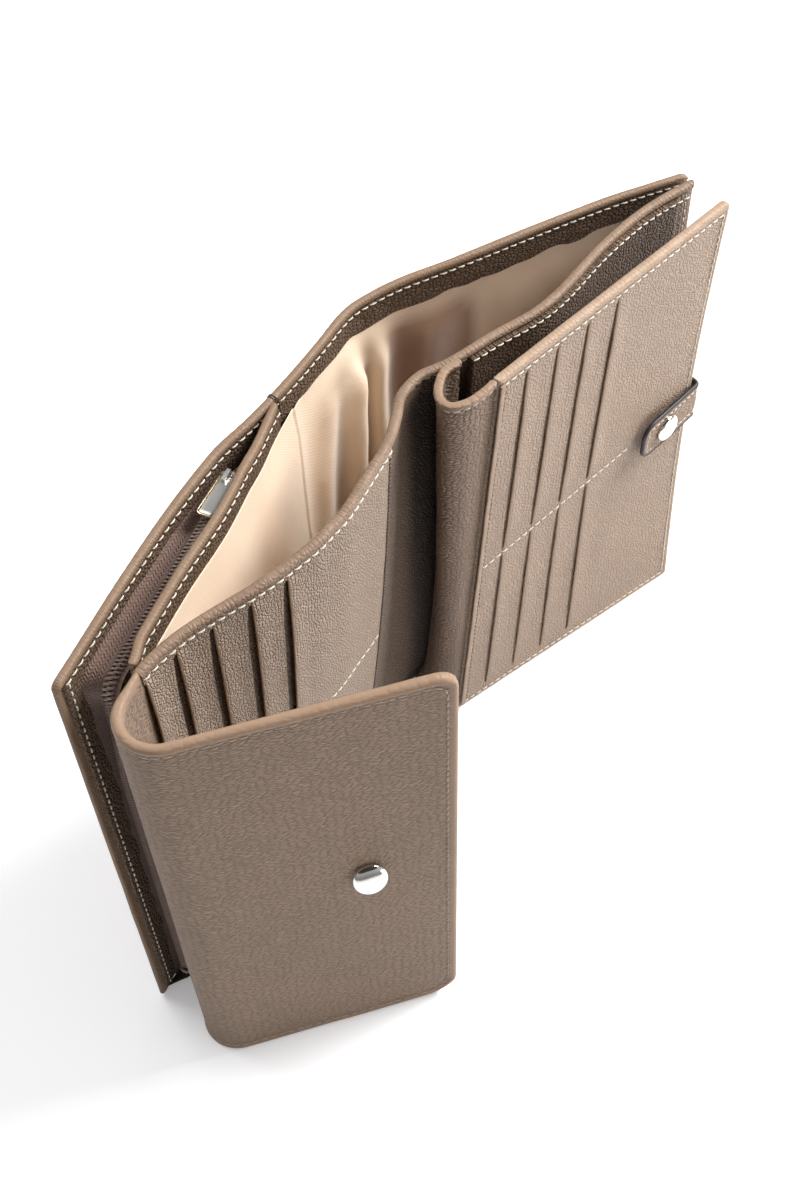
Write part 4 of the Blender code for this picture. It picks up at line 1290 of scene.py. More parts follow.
@dataclass
class Covers(Workshop):
    """The outer cover in two skins, from the zip pocket's end round the spine, with its facings."""

    seam: float = 0.036
    outer: float = -0.00075
    bulge: float = -0.00100
    inside: float = 0.00075
    rim: float = 0.00175
    facing_face: float = 0.00155
    facing_in: float = 0.0026
    facing_deep: float = 0.0124
    facing_end: float = 0.0105
    corner: float = 0.003

    def build(self) -> None:
        """Make the cover's skins, facings and stitches."""
        half, c = self.plan.half_span, self.corner
        back = self.rolled(self.outer, self.bulge, 1.0)
        face = self.rolled(self.inside, self.rim, 2.0)
        for name, start, end, cut, corners, bend, nodes in (
            ("cover_left_skin", -half, -self.seam, Side.END, (c, 0, c, 0), TO_POCKET, ("cover_left",)),
            ("cover_right_skin", -self.seam, half, Side.START, (0, c, 0, c), ROUND_SPINE,
             ("cover_spine", "cover_right")),
        ):
            skin = Panel(name, self.plan.cover, start, end, face, back, self.finish.cover, edge=0.0012,
                         cut=frozenset({cut}), rims=ALL_SIDES - {cut}, corners=corners).build()
            self.set_in(skin, bend, *nodes)
        self._facings()
        self._threads(back)

    def _facings(self) -> None:
        """The dark strips down the zip pocket's end and under the rims."""
        start, low = -self.plan.half_span + self.facing_in, HEIGHT - self.facing_deep
        for name, span, foot, cut, seed, bend, nodes, slot in (
            ("pocket_end_facing", (start, -self.plan.half_span + self.facing_end), 3 * MM, {Side.TOP}, 5.0,
             TO_POCKET, (), "pocket_facing"),
            ("pocket_rim_facing", (start, -self.seam), low, {Side.TOP, Side.END}, 6.0, TO_POCKET,
             ("pocket_facing",), ""),
            ("note_rim_facing", (-self.seam, self.plan.wall_right - 2 * MM), low, {Side.TOP, Side.START}, 7.0,
             ROUND_SPINE, ("note_facing_spine", "note_facing_back_right"), ""),
        ):
            strip = self.strip(name, self.plan.cover, span, foot, frozenset(cut), self.facing_face,
                               (0.00022, 0.009, seed))
            self.set_in(strip, bend, *nodes, slot=slot)

    def _threads(self, back: Offset) -> None:
        """The stitches along the rims, on the facing and on the outer face, and along ends and feet.

        Args:
            back: The offset of the face the stitches lie on.
        """
        line, half, s = self.plan.cover, self.plan.half_span, self.stitch_in
        on_facing = constant(self.facing_face + 0.0001)
        pocket = Thread("pocket_cover_stitches", self.finish.thread)
        ends = Thread("cover_end_stitches", self.finish.thread, length=0.0017, pitch=0.0034)
        right = Thread("spine_cover_stitches", self.finish.thread)
        for thread, start, end in ((pocket, -half + s, -self.seam), (right, -self.seam, half - s)):
            for height, offset, sign in ((HEIGHT - s, on_facing, 1), (HEIGHT - s, back, -1), (s, back, -1)):
                thread.sew(level_row(line, start, end, height, offset, sign))
        ends.sew(upright_row(line, -half + s + 1.2 * MM, s, HEIGHT - s, on_facing, 1))
        pocket.sew(upright_row(line, -half + s, s, HEIGHT - s, back, -1))
        right.sew(upright_row(line, half - s, s, HEIGHT - s, back, -1))
        for thread, bend in ((pocket, TO_POCKET), (ends, TO_POCKET), (right, ROUND_SPINE)):
            self.set_in(thread.build(), bend)


@dataclass
class NotePocket(Workshop):
    """The middle pocket: the wall shared with the zip pocket, and the satin with its folds.

    Each fold is its place, width, depth, lean and sharpness.
    """

    inner_start: float = -0.1132
    inner_end: float = -0.0265
    facing_face: float = 0.0015
    facing_deep: float = 0.0106
    satin_high: float = 0.1795
    satin_seam: float = -0.0185
    hem: float = 0.003
    satin_face: float = 0.00135
    satin_thick: float = 0.0004
    stitch_face: float = 0.00158
    loose_from: float = 0.014
    loose_foot: float = 0.025
    sway: float = 0.0035
    broad_swell: float = 0.0013
    fine_swell: float = 0.00022
    front_share: float = 0.35
    front_shift: float = 0.013
    seam_ridge: float = 0.0005
    # painted shade: how dark the satin's colour is painted between the folds at the spine, and behind the
    # card wall
    spine_shade: float = 0.95
    wall_shade: float = 0.52
    tack_at: float = -0.0258
    tack_step: float = 0.0005
    tack_thread: float = 0.00013
    folds: tuple[tuple[float, float, float, float, float], ...] = (
        (-0.0055, 0.0052, 0.0030, 0.12, 1.0), (0.0082, 0.0056, 0.0072, 0.05, 1.0),
        (0.0225, 0.0045, 0.0052, 0.0, 1.0), (0.0400, 0.0085, 0.0030, 0.05, 1.0),
        (-0.0330, 0.0110, 0.0014, 0.0, 1.0))

    def build(self) -> None:
        """Make the wall, its facing, the satin linings and the bar tack."""
        rim = self.rolled(0.00075, 0.00165, 12.0)

        def face(key: float, height: float) -> float:
            """The front's offset."""
            return rim(key, height) * (1 - 0.2 * smooth(key, -0.034, self.inner_end))

        wall = Panel("pocket_inner_skin", self._inner, self.inner_start, self.inner_end, face,
                     self.rolled(-0.00075, -0.00100, 11.0), self.finish.cover, edge=0.0012,
                     rims=LEVEL_SIDES).build()
        self.set_in(wall, "left_leaf", "pocket_inner_wall")
        strip = self.strip("inner_rim_facing", self._inner, (self.inner_start + 1 * MM, self.inner_end),
                           HEIGHT - self.facing_deep, frozenset({Side.TOP}), self.facing_face,
                           (0.00025, 0.008, 15.0))
        self.set_in(strip, "left_leaf", "note_facing_back_left")
        thread = Thread("inner_wall_stitches", self.finish.thread)
        start, height = self.inner_start + 1.5 * MM, HEIGHT - self.stitch_in
        thread.sew(level_row(self._inner, start, self.inner_end, height,
                             constant(self.stitch_face), 1))
        self.set_in(thread.build(), "left_leaf")
        self._satin_back()
        self._satin_front()
        self._bar_tack()

    def _inner(self, x: float, height: float) -> Vector:
        """The inner wall's middle, which comes up against the card wall at its end."""
        return self.plan.inner(x, height) - Vector((0, 1.8 * MM * smooth(-x, 0.1050, 0.1128), 0))

    def _folds(self, key: float, height: float) -> float:
        """How far the satin stands off its wall, in soft upright folds that gather round the spine.

        Args:
            key: The place along the line.
            height: The height.

        Returns:
            The distance from the wall.
        """
        down = self.satin_high - height
        free = smooth(down, 0.0, self.loose_from) * smooth(height, 0.0, self.loose_foot)
        sway = self.sway * ripple(0.0, height, 0.05, 21.0)
        folds = sum(depth * bell(key - at - lean * (height - 0.15) - sway, width) ** power
                    for at, width, depth, lean, power in self.folds)
        broad = 0.5 + 0.5 * ripple(key, height * 0.5, 0.030, 22.0)
        fine = ripple(key + 0.2 * height, height * 0.35, 0.007, 23.0)
        return free * (folds + self.broad_swell * broad + self.fine_swell * fine)

    def _painted_satin_shade(self, key: float, height: float) -> float:
        """How much painted shade darkens the satin's colour: between the folds at the spine, and behind the
        card wall.

        Args:
            key: The place along the line.
            height: The height.

        Returns:
            The share of painted shade, from 0 to 1.
        """
        near = smooth(key, -0.010, 0.002) * (1 - smooth(key, 0.050, 0.062))
        below = smooth(self.satin_high - height, 0.0, self.loose_from)
        hollow = 1 - smooth(self._folds(key, height), 0.0010, 0.0052)
        behind = self.wall_shade * smooth(key, 0.014, 0.040)
        return min(1.0, self.spine_shade * near * below * hollow + behind)

    def _satin_back(self) -> None:
        """The satin on the covers' side, in one sheet over the inner wall, the spine and the right cover."""
        seam = self.satin_seam

        def face(key: float, height: float) -> float:
            """The front's offset."""
            ridge = smooth(key, seam - 0.4 * MM, seam) * (1 - smooth(key, seam, seam + 6 * MM))
            return self.satin_face + self._folds(key, height) + self.seam_ridge * ridge

        start, end = self.inner_start + 1.5 * MM, self.plan.wall_right - 3 * MM
        satin = Panel("satin_back", self.plan.inner, start, end, face,
                      lambda k, h: face(k, h) - self.satin_thick, self.finish.satin, low=self.hem,
                      high=self.satin_high, edge=0.0002, step=0.0012, row_step=0.004,
                      keys=(seam - 0.4 * MM, seam), painted_shade=self._painted_satin_shade).build()
        nodes = ("note_lining_back_left", "note_lining_spine", "note_lining_back_right")
        self.set_in(satin, ROUND_SPINE, *nodes)

    def _satin_front(self) -> None:
        """The satin on the back of the card wall."""
        def back(key: float, height: float) -> float:
            """The back's offset."""
            return -self.satin_face - self.front_share * self._folds(key + self.front_shift, height)

        start, end = -self.plan.wall_left + 3 * MM, self.plan.wall_right - 3 * MM
        satin = Panel("satin_front", self.plan.front, start, end,
                      lambda k, h: back(k, h) + self.satin_thick, back, self.finish.satin, low=self.hem,
                      high=HEIGHT - 12 * MM, edge=0.0002, step=0.0015, row_step=0.005).build()
        nodes = ("note_lining_front_left", "front_fold_lining", "note_lining_front_right")
        self.set_in(satin, ACROSS_FOLD, *nodes)

    def _bar_tack(self) -> None:
        """Dark thread wound over both rims where the inner wall joins the cover."""
        thread = Thread("bar_tack", self.finish.black_thread)
        for number, lean in enumerate((0.0, 0.35, -0.25)):
            x = self.tack_at + self.tack_step * number
            normal, spot = outward(self.plan.cover, x, HEIGHT), self.plan.cover(x, HEIGHT)
            over = [(-1.12, -4.4), (-1.15, -2.0), (-0.85, -0.35), (0.0, 0.1), (1.2, 0.0), (2.05, -0.6),
                    (2.3, -2.4), (2.2, -4.6 - number)]
            spots = [spot + o * MM * normal + Vector((lean * MM * (o + 1) / 2, 0, z * MM)) for o, z in over]
            ups = [(normal * o + UP * (3 + z)).normalized() for o, z in over]
            thread.tube(spots, ups, [self.tack_thread] * len(over))
        self.set_in(thread.build(), "left_leaf")


@dataclass
class SlitWall(Workshop):
    """Card slots: overlapping leaves whose mouths gape between sewn ends, flush where they are sewn.

    base is the offset of the wall behind, flush that of the sewn surface, and gape how far each mouth stands
    off that. outer are the sides of the whole stack that have no rounding.
    """

    prefix: str = ""
    node: str = ""
    body: str = ""
    base: float = 0.0
    flush: float = 0.0
    gape: tuple[float, ...] = ()
    pitch: float = 0.0
    leaf_top: float = HEIGHT
    seed: float = 0.0
    outer: Sides = frozenset()
    sewn_foot: float = 0.0068
    sewn_top: float = 0.1852
    half_seam: float = 0.0017
    ease: float = 0.0016
    sink: float = 0.0007
    gap: float = 0.0007
    ridge: float = 0.0
    leaf_thick: float = 0.00075
    leaf_tuck: float = 0.0002
    leaf_dent: float = 0.00014
    leaf_swell: float = 0.0001

    MOUTH_STEPS = (1.7, 1.4, 1.2, 1.0, 0.8, 0.6, 0.45, 0.3, 0.15, 0.0, -0.2)

    def seam(self, key: float) -> float:
        """The height of the seam across the middle of the slots."""
        return HEIGHT / 2

    def opening(self, key: float, height: float) -> float:
        """How far a slot's mouth gapes at a height: 0 where it is sewn, rising to 1 halfway along.

        Args:
            key: The place along the line.
            height: The height.

        Returns:
            The share of the full gape.
        """
        seam = self.seam(key)
        lower, upper = (self.sewn_foot, seam - self.half_seam), (seam + self.half_seam, self.sewn_top)
        low, high = lower if height < seam else upper
        inside = min(height - low, high - height)
        return 0.5 * smooth(inside, 0.0, self.ease) + 0.5 * smooth(inside, 0.0, 20 * MM)

    def hollow(self, key: float, mouth: float, height: float, blur: float) -> float:
        """How much a place lies in the gap beside a slot's mouth, where the leaf sinks and its colour is
        darkened as painted shade.

        Args:
            key: The place's key.
            mouth: The key of the slot's mouth.
            height: The place's height.
            blur: How softly the gap's side ends.

        Returns:
            1 in the gap and 0 beside it.
        """
        free = self.opening(mouth, height)
        side = mouth - 0.25 * MM - self.gap * free
        return smooth(free, 0.0, 0.35) * smooth(key, side - blur, side + 0.1 * MM)

    def leaves(self, line: Line, start: float, mouth: float, end: float, material: Material) -> None:
        """Make a border strip and a leaf for each mouth, and set them in.

        Args:
            line: The line that the leaves follow.
            start: The key where the border strip starts.
            mouth: The key of the first slot's mouth.
            end: The key where the last leaf ends.
            material: The leather.
        """
        mouths = [mouth + self.pitch * i for i in range(len(self.gape))]
        for number, (near, far) in enumerate(zip([start, *mouths], [*mouths, end])):
            leaf = self._leaf(number, near, far, line, material).build()
            self.set_in(leaf, self.body, f"{self.node}_{number + 1}")

    def _leaf(self, number: int, near: float, far: float, line: Line, material: Material) -> Panel:
        """One leaf, or the border strip.

        Args:
            number: Its number, 0 for the border strip.
            near: The key of its own mouth, or of the strip's start.
            far: The key of the next mouth, or of the end.
            line: The line that it follows.
            material: The leather.

        Returns:
            The panel.
        """
        last = number == len(self.gape)
        lift = self.gape[number - 1] if number else 0.0

        def face(key: float, height: float) -> float:
            """The front's offset.

            Args:
                key: The place along the line.
                height: The height.

            Returns:
                The offset.
            """
            fall = self.opening(near, height) * ((1 - smooth(key, near, near + 8 * MM)) * lift)
            sink = 0.0 if last else self.sink * self.hollow(key, far, height, 0.5 * MM)
            tucked = 0.0 if last else self.leaf_tuck * smooth(key, far - 0.3 * MM, far + 0.2 * MM)
            uneven = (self.leaf_dent * ripple(key, height, 0.012, self.seed + number)
                      + self.leaf_swell * ripple(key, height, 0.03, self.seed - number))
            rise = 0.0 if number else self.ridge * (1 - smooth(key, near + 1.8 * MM, near + 2.8 * MM))
            calm = 1 - bell(HEIGHT - height - self.stitch_in, 0.002)
            return self.flush + fall - sink - tucked + rise + uneven * calm

        cut = set(self.outer & {Side.TOP, Side.FOOT})
        cut |= {Side.START} if not number and Side.START in self.outer else set()
        cut |= {Side.END} if not last or Side.END in self.outer else set()
        turned = ({Side.START} if number or self.ridge else set()) | ({Side.END} if last else set())
        # painted shade: the gap beside the next mouth is darkened in the leaf's colour as well as sunk
        return Panel(f"{self.prefix}_{number + 1}", line, near, far + (0.0 if last else 3.0 * MM), face,
                     lambda k, h: max(face(k, h) - self.leaf_thick, self.base - 0.0003), material,
                     low=2.6 * MM, high=self.leaf_top, edge=0.00036, cut=frozenset(cut), step=0.0013,
                     row_step=0.0035,
                     rims=frozenset(turned), rim_width=0.0007 if number else 0.0019,
                     keys=tuple(far - d * MM for d in self.MOUTH_STEPS), rows=self._slot_rows(),
                     painted_shade=lambda k, h: 0.0 if last else self.hollow(k, far, h, 0.15 * MM))

    def seam_row(self, line: Line, start: float, end: float, offset: Offset) -> Row:
        """A row of stitches along the seam across the slots, as row_on gives it."""
        return row_on(line, [(key, self.seam(key)) for key in between(start, end, 60)], offset, 1)

    def _slot_rows(self) -> tuple[float, ...]:
        """Heights close together at the ends of the slots.

        Returns:
            The heights.
        """
        ends = [self.sewn_foot + self.ease * i / 4 for i in range(5)]
        ends += [self.sewn_top - self.ease * i / 4 for i in range(5)]
        return tuple(ends + [0.088 + 0.0006 * i for i in range(30)])


@dataclass
class CardWall(SlitWall):
    """The card wall in one skin across the middle fold, with the left leaves and the right slip pockets."""

    prefix: str = "card_slot_leaf"
    node: str = "card_leaf_left"
    body: str = "left_leaf"
    base: float = 0.0008
    flush: float = 0.00135
    gape: tuple[float, ...] = (0.0012, 0.0009, 0.0008, 0.0009, 0.0011)
    pitch: float = 0.0118
    leaf_top: float = HEIGHT - 2.3 * MM
    seed: float = 40.0
    outer: Sides = frozenset({Side.TOP, Side.START})
    gap: float = 0.0014
    rim_front: float = 0.00150
    rim_back: float = -0.00165
    slip_start: float = 0.0251
    slip_step: float = 0.0009

    def seam(self, key: float) -> float:
        """The seam's height, which rises a little towards the flap."""
        return 0.095 + 0.006 * smooth(-key, 0.02, 0.07)

    def build(self) -> None:
        """Make the wall, leaves, slip pockets and stitches."""
        plan, finish = self.plan, self.finish
        start = -plan.wall_left
        face = self.rolled(0.00075, self.rim_front, 31.0)
        # painted shade: the wall's leather colour is darkened for the shade that falls on it by the fold and
        # the roll
        wall = Panel("card_wall_skin", plan.front, start, plan.wall_right, face,
                     self.rolled(-0.00075, self.rim_back, 32.0), finish.fold, edge=0.0013,
                     cut=frozenset({Side.START}), rims=ALL_SIDES - {Side.START},
                     painted_shade=self._painted_shade_by_roll).build()
        nodes = ("card_wall_left", "front_fold", "card_wall_right")
        self.set_in(wall, ACROSS_FOLD, *nodes, slot="card_wall_left")
        self.leaves(plan.front, start + 0.1 * MM, start + 0.6 * MM, -plan.fold_left, finish.leaf)
        self._slips()
        self._threads(face)

    def _painted_shade_by_roll(self, key: float, height: float) -> float:
        """How much painted shade darkens the wall's colour beside the page's roll.

        Args:
            key: The place along the line.
            height: The height.

        Returns:
            The share of painted shade, from 0 to 1.
        """
        edge = self.plan.page_root(height).x - 4.4 * MM - 11.8 * MM * height / HEIGHT
        below = smooth(HEIGHT - height, 2.5 * MM, 12 * MM)
        return 0.80 * below * smooth(key, edge - 6.5 * MM, edge + 0.5 * MM) * (1 - smooth(key, 0.022, 0.030))

    def _slips(self) -> None:
        """The two slip pockets on the right wall, which end one short of the other."""
        for number in (1, 2):
            near = 0.00075 + self.slip_step * number
            stop = self.plan.wall_right - 4.2 * MM - 3.2 * MM * (number - 1)

            def face(key: float, height: float, near: float = near, seed: float = 50.0 + number) -> float:
                """The front's offset."""
                return near + 0.0002 * ripple(key, height, 0.016, seed)

            slip = Panel(f"slip_pocket_leaf_{number}", self.plan.front, self.slip_start, stop, face,
                         constant(near - self.slip_step), self.finish.facing, low=2.8 * MM,
                         high=HEIGHT - 2.4 * MM, edge=0.0004, rims=frozenset({Side.END}),
                         rim_width=0.0012).build()
            self.set_in(slip, "right_leaf", f"slip_pocket_{number}")

    def _threads(self, face: Offset) -> None:
        """The wall's stitches: along the rim, across the slots, beside the fold and down the end.

        Args:
            face: The offset of the face the stitches lie on.
        """
        line, finish, s = self.plan.front, self.finish, self.stitch_in
        start, fold, end = -self.plan.wall_left, -self.plan.fold_left, self.plan.wall_right
        on_leaf = constant(self.flush + 0.00012)
        rim = Thread("card_wall_stitches", finish.thread)
        for near, far, offset in ((start, fold, on_leaf), (fold, self.slip_start, face),
                                  (self.slip_start, end - s, constant(0.0027))):
            rim.sew(level_row(line, near, far, HEIGHT - s, offset, 1))
        slots = Thread("slot_stitches", finish.thread, radius=0.00022)
        slots.sew(self.seam_row(line, start + 2 * MM, fold - 2.4 * MM, on_leaf))
        edge = Thread("fold_edge_stitches", finish.brown_thread, radius=0.00034, length=0.0012, pitch=0.0018)
        edge.sew(upright_row(line, fold - 1.5 * MM, 3 * MM, HEIGHT - 5 * MM, on_leaf, 1))
        ends = Thread("slip_pocket_stitches", finish.thread)
        ends.sew(upright_row(line, end - s, s, HEIGHT - s, face, 1))
        for thread, where in ((rim, ACROSS_FOLD), (slots, "left_leaf"), (edge, "left_leaf"),
                              (ends, "right_leaf")):
            self.set_in(thread.build(), where)


@dataclass
class CardPage(SlitWall):
    """The hinged card page: a stiff body with turned edges, its slots, and the roll that hinges it."""

    prefix: str = "page_slot_leaf"
    node: str = "page_leaf"
    body: str = "page"
    base: float = 0.0011
    flush: float = 0.00160
    gape: tuple[float, ...] = (0.0007, 0.0006, 0.0006, 0.0007)
    pitch: float = 0.0136
    leaf_top: float = HEIGHT - 2.2 * MM
    seed: float = 70.0
    outer: Sides = frozenset({Side.TOP, Side.FOOT, Side.END})
    ridge: float = 0.0009
    border: float = 0.0126
    rim: float = 0.00178
    seam_end: float = 0.074

    def seam(self, key: float) -> float:
        """The seam's height, which rises towards the strap."""
        return 0.0925 + 0.006 * key / self.seam_end

    def build(self) -> None:
        """Make the page, its leaves, the roll and the stitches."""
        plan, finish, width = self.plan, self.finish, self.plan.page_width

        def face(key: float, height: float) -> float:
            """The front's offset."""
            turned = 1 - smooth(min(width - key, HEIGHT - height, height), 1.9 * MM, 2.9 * MM)
            return self.base + (self.rim - self.base) * turned + 0.00008 * ripple(key, height, 0.01, 61.0)

        def back(key: float, height: float) -> float:
            """The back's offset."""
            pull = 0.0002 * bell(min(width - key, HEIGHT - height, height) - self.stitch_in, 0.0009)
            return -plan.page_rim / 2 + pull + 0.00014 * ripple(key, height, 0.02, 62.0)

        body = Panel("page_body", plan.page, 0.0, width, face, back, finish.page, edge=0.0013,
                     rims=ALL_SIDES - {Side.START}, rim_width=0.0023, corners=(0, 0.002, 0, 0.002)).build()
        self.set_in(body, "page", "page_back")
        self.leaves(plan.page, 0.3 * MM, self.border, width - 2.3 * MM, finish.page)
        self._roll()
        self._threads(back)

    def _roll(self) -> None:
        """The rolled leather from the page's edge round to its seam on the wall."""
        plan, finish = self.plan, self.finish
        line, length = by_length(plan.roll_share)
        face, back = self.rolled(0.0006, 0.0013, 81.0), self.rolled(-0.0006, -0.0013, 82.0)
        roll = Panel("page_roll", line, 0.0, length, face, back, finish.roll, edge=0.0006,
                     rims=LEVEL_SIDES, rim_width=0.0024, step=0.0011).build()
        out = (plan.roll_share(0.4, HEIGHT) - plan.roll_share(0.0, HEIGHT)).normalized()
        shown, sign = (face, 1) if outward(line, length * 0.4, HEIGHT).dot(out) > 0 else (back, -1)
        thread = Thread("page_roll_stitches", finish.thread)
        thread.sew(level_row(line, 0.8 * MM, length - 1 * MM, HEIGHT - self.stitch_in, shown, sign))
        seam = Thread("roll_seam_stitches", finish.black_thread, radius=0.0002)
        seam.sew(upright_row(line, length - 2.4 * MM, 4 * MM, HEIGHT - 4 * MM, shown, sign))
        bend = Bend("right_leaf", "page", (0.016, -0.0137, 0), (0.016, -0.0282, -0.00175))
        self.set_in(roll, bend, "page_hinge")
        for stitches in (thread, seam):
            self.set_in(stitches.build(), bend)

    def _threads(self, back: Offset) -> None:
        """The page's stitches: round its edges, down its start and across the middle of its slots.

        Args:
            back: The offset of the face the stitches lie on.
        """
        line, s, end = self.plan.page, self.stitch_in, self.plan.page_width - self.stitch_in
        on_leaf = constant(self.flush + 0.00012)
        thread = Thread("page_stitches", self.finish.thread, radius=0.00023)
        for offset, sign in ((on_leaf, 1), (back, -1)):
            for height in (HEIGHT - s, s):
                thread.sew(level_row(line, 1.5 * MM, end, height, offset, sign))
            thread.sew(upright_row(line, end, s, HEIGHT - s, offset, sign))
        thread.sew(self.seam_row(line, 2.6 * MM, self.seam_end, on_leaf))
        start = Thread("page_start_stitches", self.finish.brown_thread, radius=0.00022, length=0.0018,
                       pitch=0.0026)
        start.sew(upright_row(line, 3.0 * MM, s, HEIGHT - s, on_leaf, 1))
        for stitches in (thread, start):
            self.set_in(stitches.build(), "page")


@dataclass
class Flap(Workshop):
    """The stiff flap that wraps round the pocket's end, with its lining."""

    foot_corner: float = 0.011
    top_corner: float = 0.006
    lining_in: float = 0.0028
    thin: float = 0.62
    thin_until: float = 0.012

    def build(self) -> None:
        """Make the flap's leather, lining and stitches."""
        plan, finish = self.plan, self.finish
        half, full = plan.flap_rim / 2, plan.flap_full()
        bend_end = plan.flap_lead + plan.flap_radius * plan.flap_wrap

        def edge_away(key: float, height: float) -> float:
            """The distance to the rounded outline."""
            top = rounded_distance(full - key, HEIGHT - height, self.top_corner)
            return min(top, rounded_distance(full - key, height, self.foot_corner))

        def thick(key: float) -> float:
            """Half the thickness at a key."""
            return half * (self.thin + (1 - self.thin) * smooth(key, 0.0, self.thin_until))

        def face(key: float, height: float) -> float:
            """The front's offset.

            Args:
                key: The place along the line.
                height: The height.

            Returns:
                The offset.
            """
            near = edge_away(key, height)
            pull = 0.00024 * bell(near - self.stitch_in, 0.0010)
            puff = 0.00022 * (1 - smooth(near, 1.4 * MM, 2.8 * MM))
            broad = 0.00020 * ripple(key, height, 0.030, 91.0)
            return thick(key) - pull + puff + broad + 0.00008 * ripple(key, height, 0.008, 92.0)

        def back(key: float, height: float) -> float:
            """The back's offset.

            Args:
                key: The place along the line.
                height: The height.

            Returns:
                The offset.
            """
            inside = smooth(edge_away(key, height), 2.4 * MM, 3.2 * MM)
            flat = smooth(key, bend_end - 3 * MM, bend_end)
            return -thick(key) + inside * 0.0004 * flat + 0.00008 * ripple(key, height, 0.01, 93.0)

        flap = Panel("flap_leather_skin", plan.flap, 0.0, full, face, back, finish.flap, edge=0.0014,
                     cut=frozenset({Side.START}), rims=ALL_SIDES - {Side.START}, rim_width=0.0027,
                     corners=(0, self.top_corner, 0, self.foot_corner), step=0.0014).build()
        away = self.lining_in
        lining = Panel("flap_inner_skin", plan.flap, bend_end, full - away, constant(-half + 0.0006),
                       lambda k, h: -half - 0.00005 + 0.0001 * ripple(k, h, 0.012, 94.0), finish.leaf,
                       low=away, high=HEIGHT - away, edge=0.0003,
                       corners=(0, self.top_corner - 2 * MM, 0, self.foot_corner - 2 * MM)).build()
        self.set_in(lining, "flap", "flap_lining")
        thread = Thread("flap_stitches", finish.toned_thread, radius=0.00027)
        thread.sew(row_on(plan.flap, self._round_the_edge(full, 1.0 * MM), face, 1))
        inner = Thread("flap_inner_stitches", finish.toned_thread)
        marks = self._round_the_edge(full, bend_end)
        inner.sew(row_on(plan.flap, marks, lambda k, h: back(k, h) - 0.0001, -1))
        near, far = plan.front(-plan.wall_left, HEIGHT), plan.flap(bend_end, HEIGHT)
        bend = Bend("left_leaf", "flap", (near.x, near.y, 0), (far.x, far.y, 0))
        self.set_in(flap, bend, "flap_bend", "flap_outer")
        for stitches in (thread, inner):
            self.set_in(stitches.build(), bend)

    def _round_the_edge(self, full: float, start: float) -> Pairs:
        """The stitches' marks: along the top rim, round the tip and back along the foot.

        Args:
            full: The flap's length.
            start: Where the stitches begin.

        Returns:
            The marks.
        """
        s, tip = self.stitch_in, full - self.stitch_in
        top, foot = self.top_corner - s / 2, self.foot_corner - s
        return [
            *((key, HEIGHT - s) for key in between(start, tip - top, 90)),
            *corner_marks((tip - top, HEIGHT - s - top), top, (0.4, 0.8, 1.2), True),
            *((tip, height) for height in between(HEIGHT - s - top, s + foot, 60)),
            *corner_marks((tip - foot, s + foot), foot, (0.3, 0.6, 0.9, 1.25), False),
            *((key, s) for key in between(tip - foot, start, 90)),
        ]


@dataclass
class Strap(Workshop):
    """The small strap round the page's free edge, with painted edges."""

    width: float = 0.015
    thick: float = 0.0013
    corner: float = 0.0045
    seam_in: float = 0.0021
    seam_back: float = 0.008
    paint: float = 0.00082

    def build(self) -> None:
        """Make the strap, its painted edge and its stitches."""
        plan, finish, full = self.plan, self.finish, self.plan.strap_full()
        low, high = plan.strap_height - self.width / 2, plan.strap_height + self.width / 2

        def inner(key: float, height: float) -> float:
            """The inner side's offset."""
            return 0.00012 * ripple(key, height, 0.006, 101.0)

        def outer(key: float, height: float) -> float:
            """The outer side's offset."""
            pull = 0.00018 * bell(min(full - key, high - height, height - low) - self.seam_in, 0.0007)
            return -self.thick + pull + 0.00016 * ripple(key, height, 0.004, 102.0)

        strap = Panel("strap_band", plan.strap, 0.0, full, inner, outer, finish.flap, low=low, high=high,
                      edge=0.0003, corners=(0, self.corner, 0, self.corner), step=0.0009,
                      row_step=0.001).build()
        edge = self._paint(full, low, high)
        thread = Thread("strap_stitches", finish.thread, radius=0.0002, length=0.0018, pitch=0.0025)
        start, tip = plan.strap_anchor - self.seam_back, full - self.seam_in
        top, foot = high - self.seam_in, low + self.seam_in
        marks = [(key, top) for key in between(start, tip, 40)]
        marks += [(tip, height) for height in between(top, foot, 10)[1:-1]]
        marks += [(key, foot) for key in between(tip, start, 40)]
        thread.sew(row_on(plan.strap, marks, outer, -1))
        along = outward(plan.page, plan.page_width, plan.strap_height)
        edge_of_page = plan.page(plan.page_width, plan.strap_height)
        bend = Bend("page", "strap", tuple(edge_of_page + plan.strap_back * along),
                    tuple(edge_of_page + plan.strap_layer * along))
        self.set_in(strap, bend, "strap_anchor", "strap_bend", "strap_tab")
        for piece in (edge, thread.build()):
            self.set_in(piece, bend)

    def _paint(self, full: float, low: float, high: float) -> Object:
        """The dark painted bead along the strap's cut edges.

        Args:
            full: The strap's length.
            low: The strap's lower edge.
            high: Its upper edge.

        Returns:
            The bead's mesh object.
        """
        line, c = self.plan.strap, self.corner
        thread = Thread("strap_edge_paint", self.finish.paint, sides=8)
        marks = [
            *((key, high) for key in between(0.0, full - c, 70)),
            *corner_marks((full - c, high - c), c, (0.35, 0.7, 1.05, 1.4), True),
            *((full, height) for height in between(high - c, low + c, 8)),
            *corner_marks((full - c, low + c), c, (0.2, 0.55, 0.9, 1.25), False),
            *((key, low) for key in between(full - c, 0.0, 70)),
        ]
        path = row_on(line, marks, constant(-self.thick / 2), 1)
        thread.tube([spot for spot, _ in path], [up for _, up in path], [self.paint] * len(path))
        return thread.build()


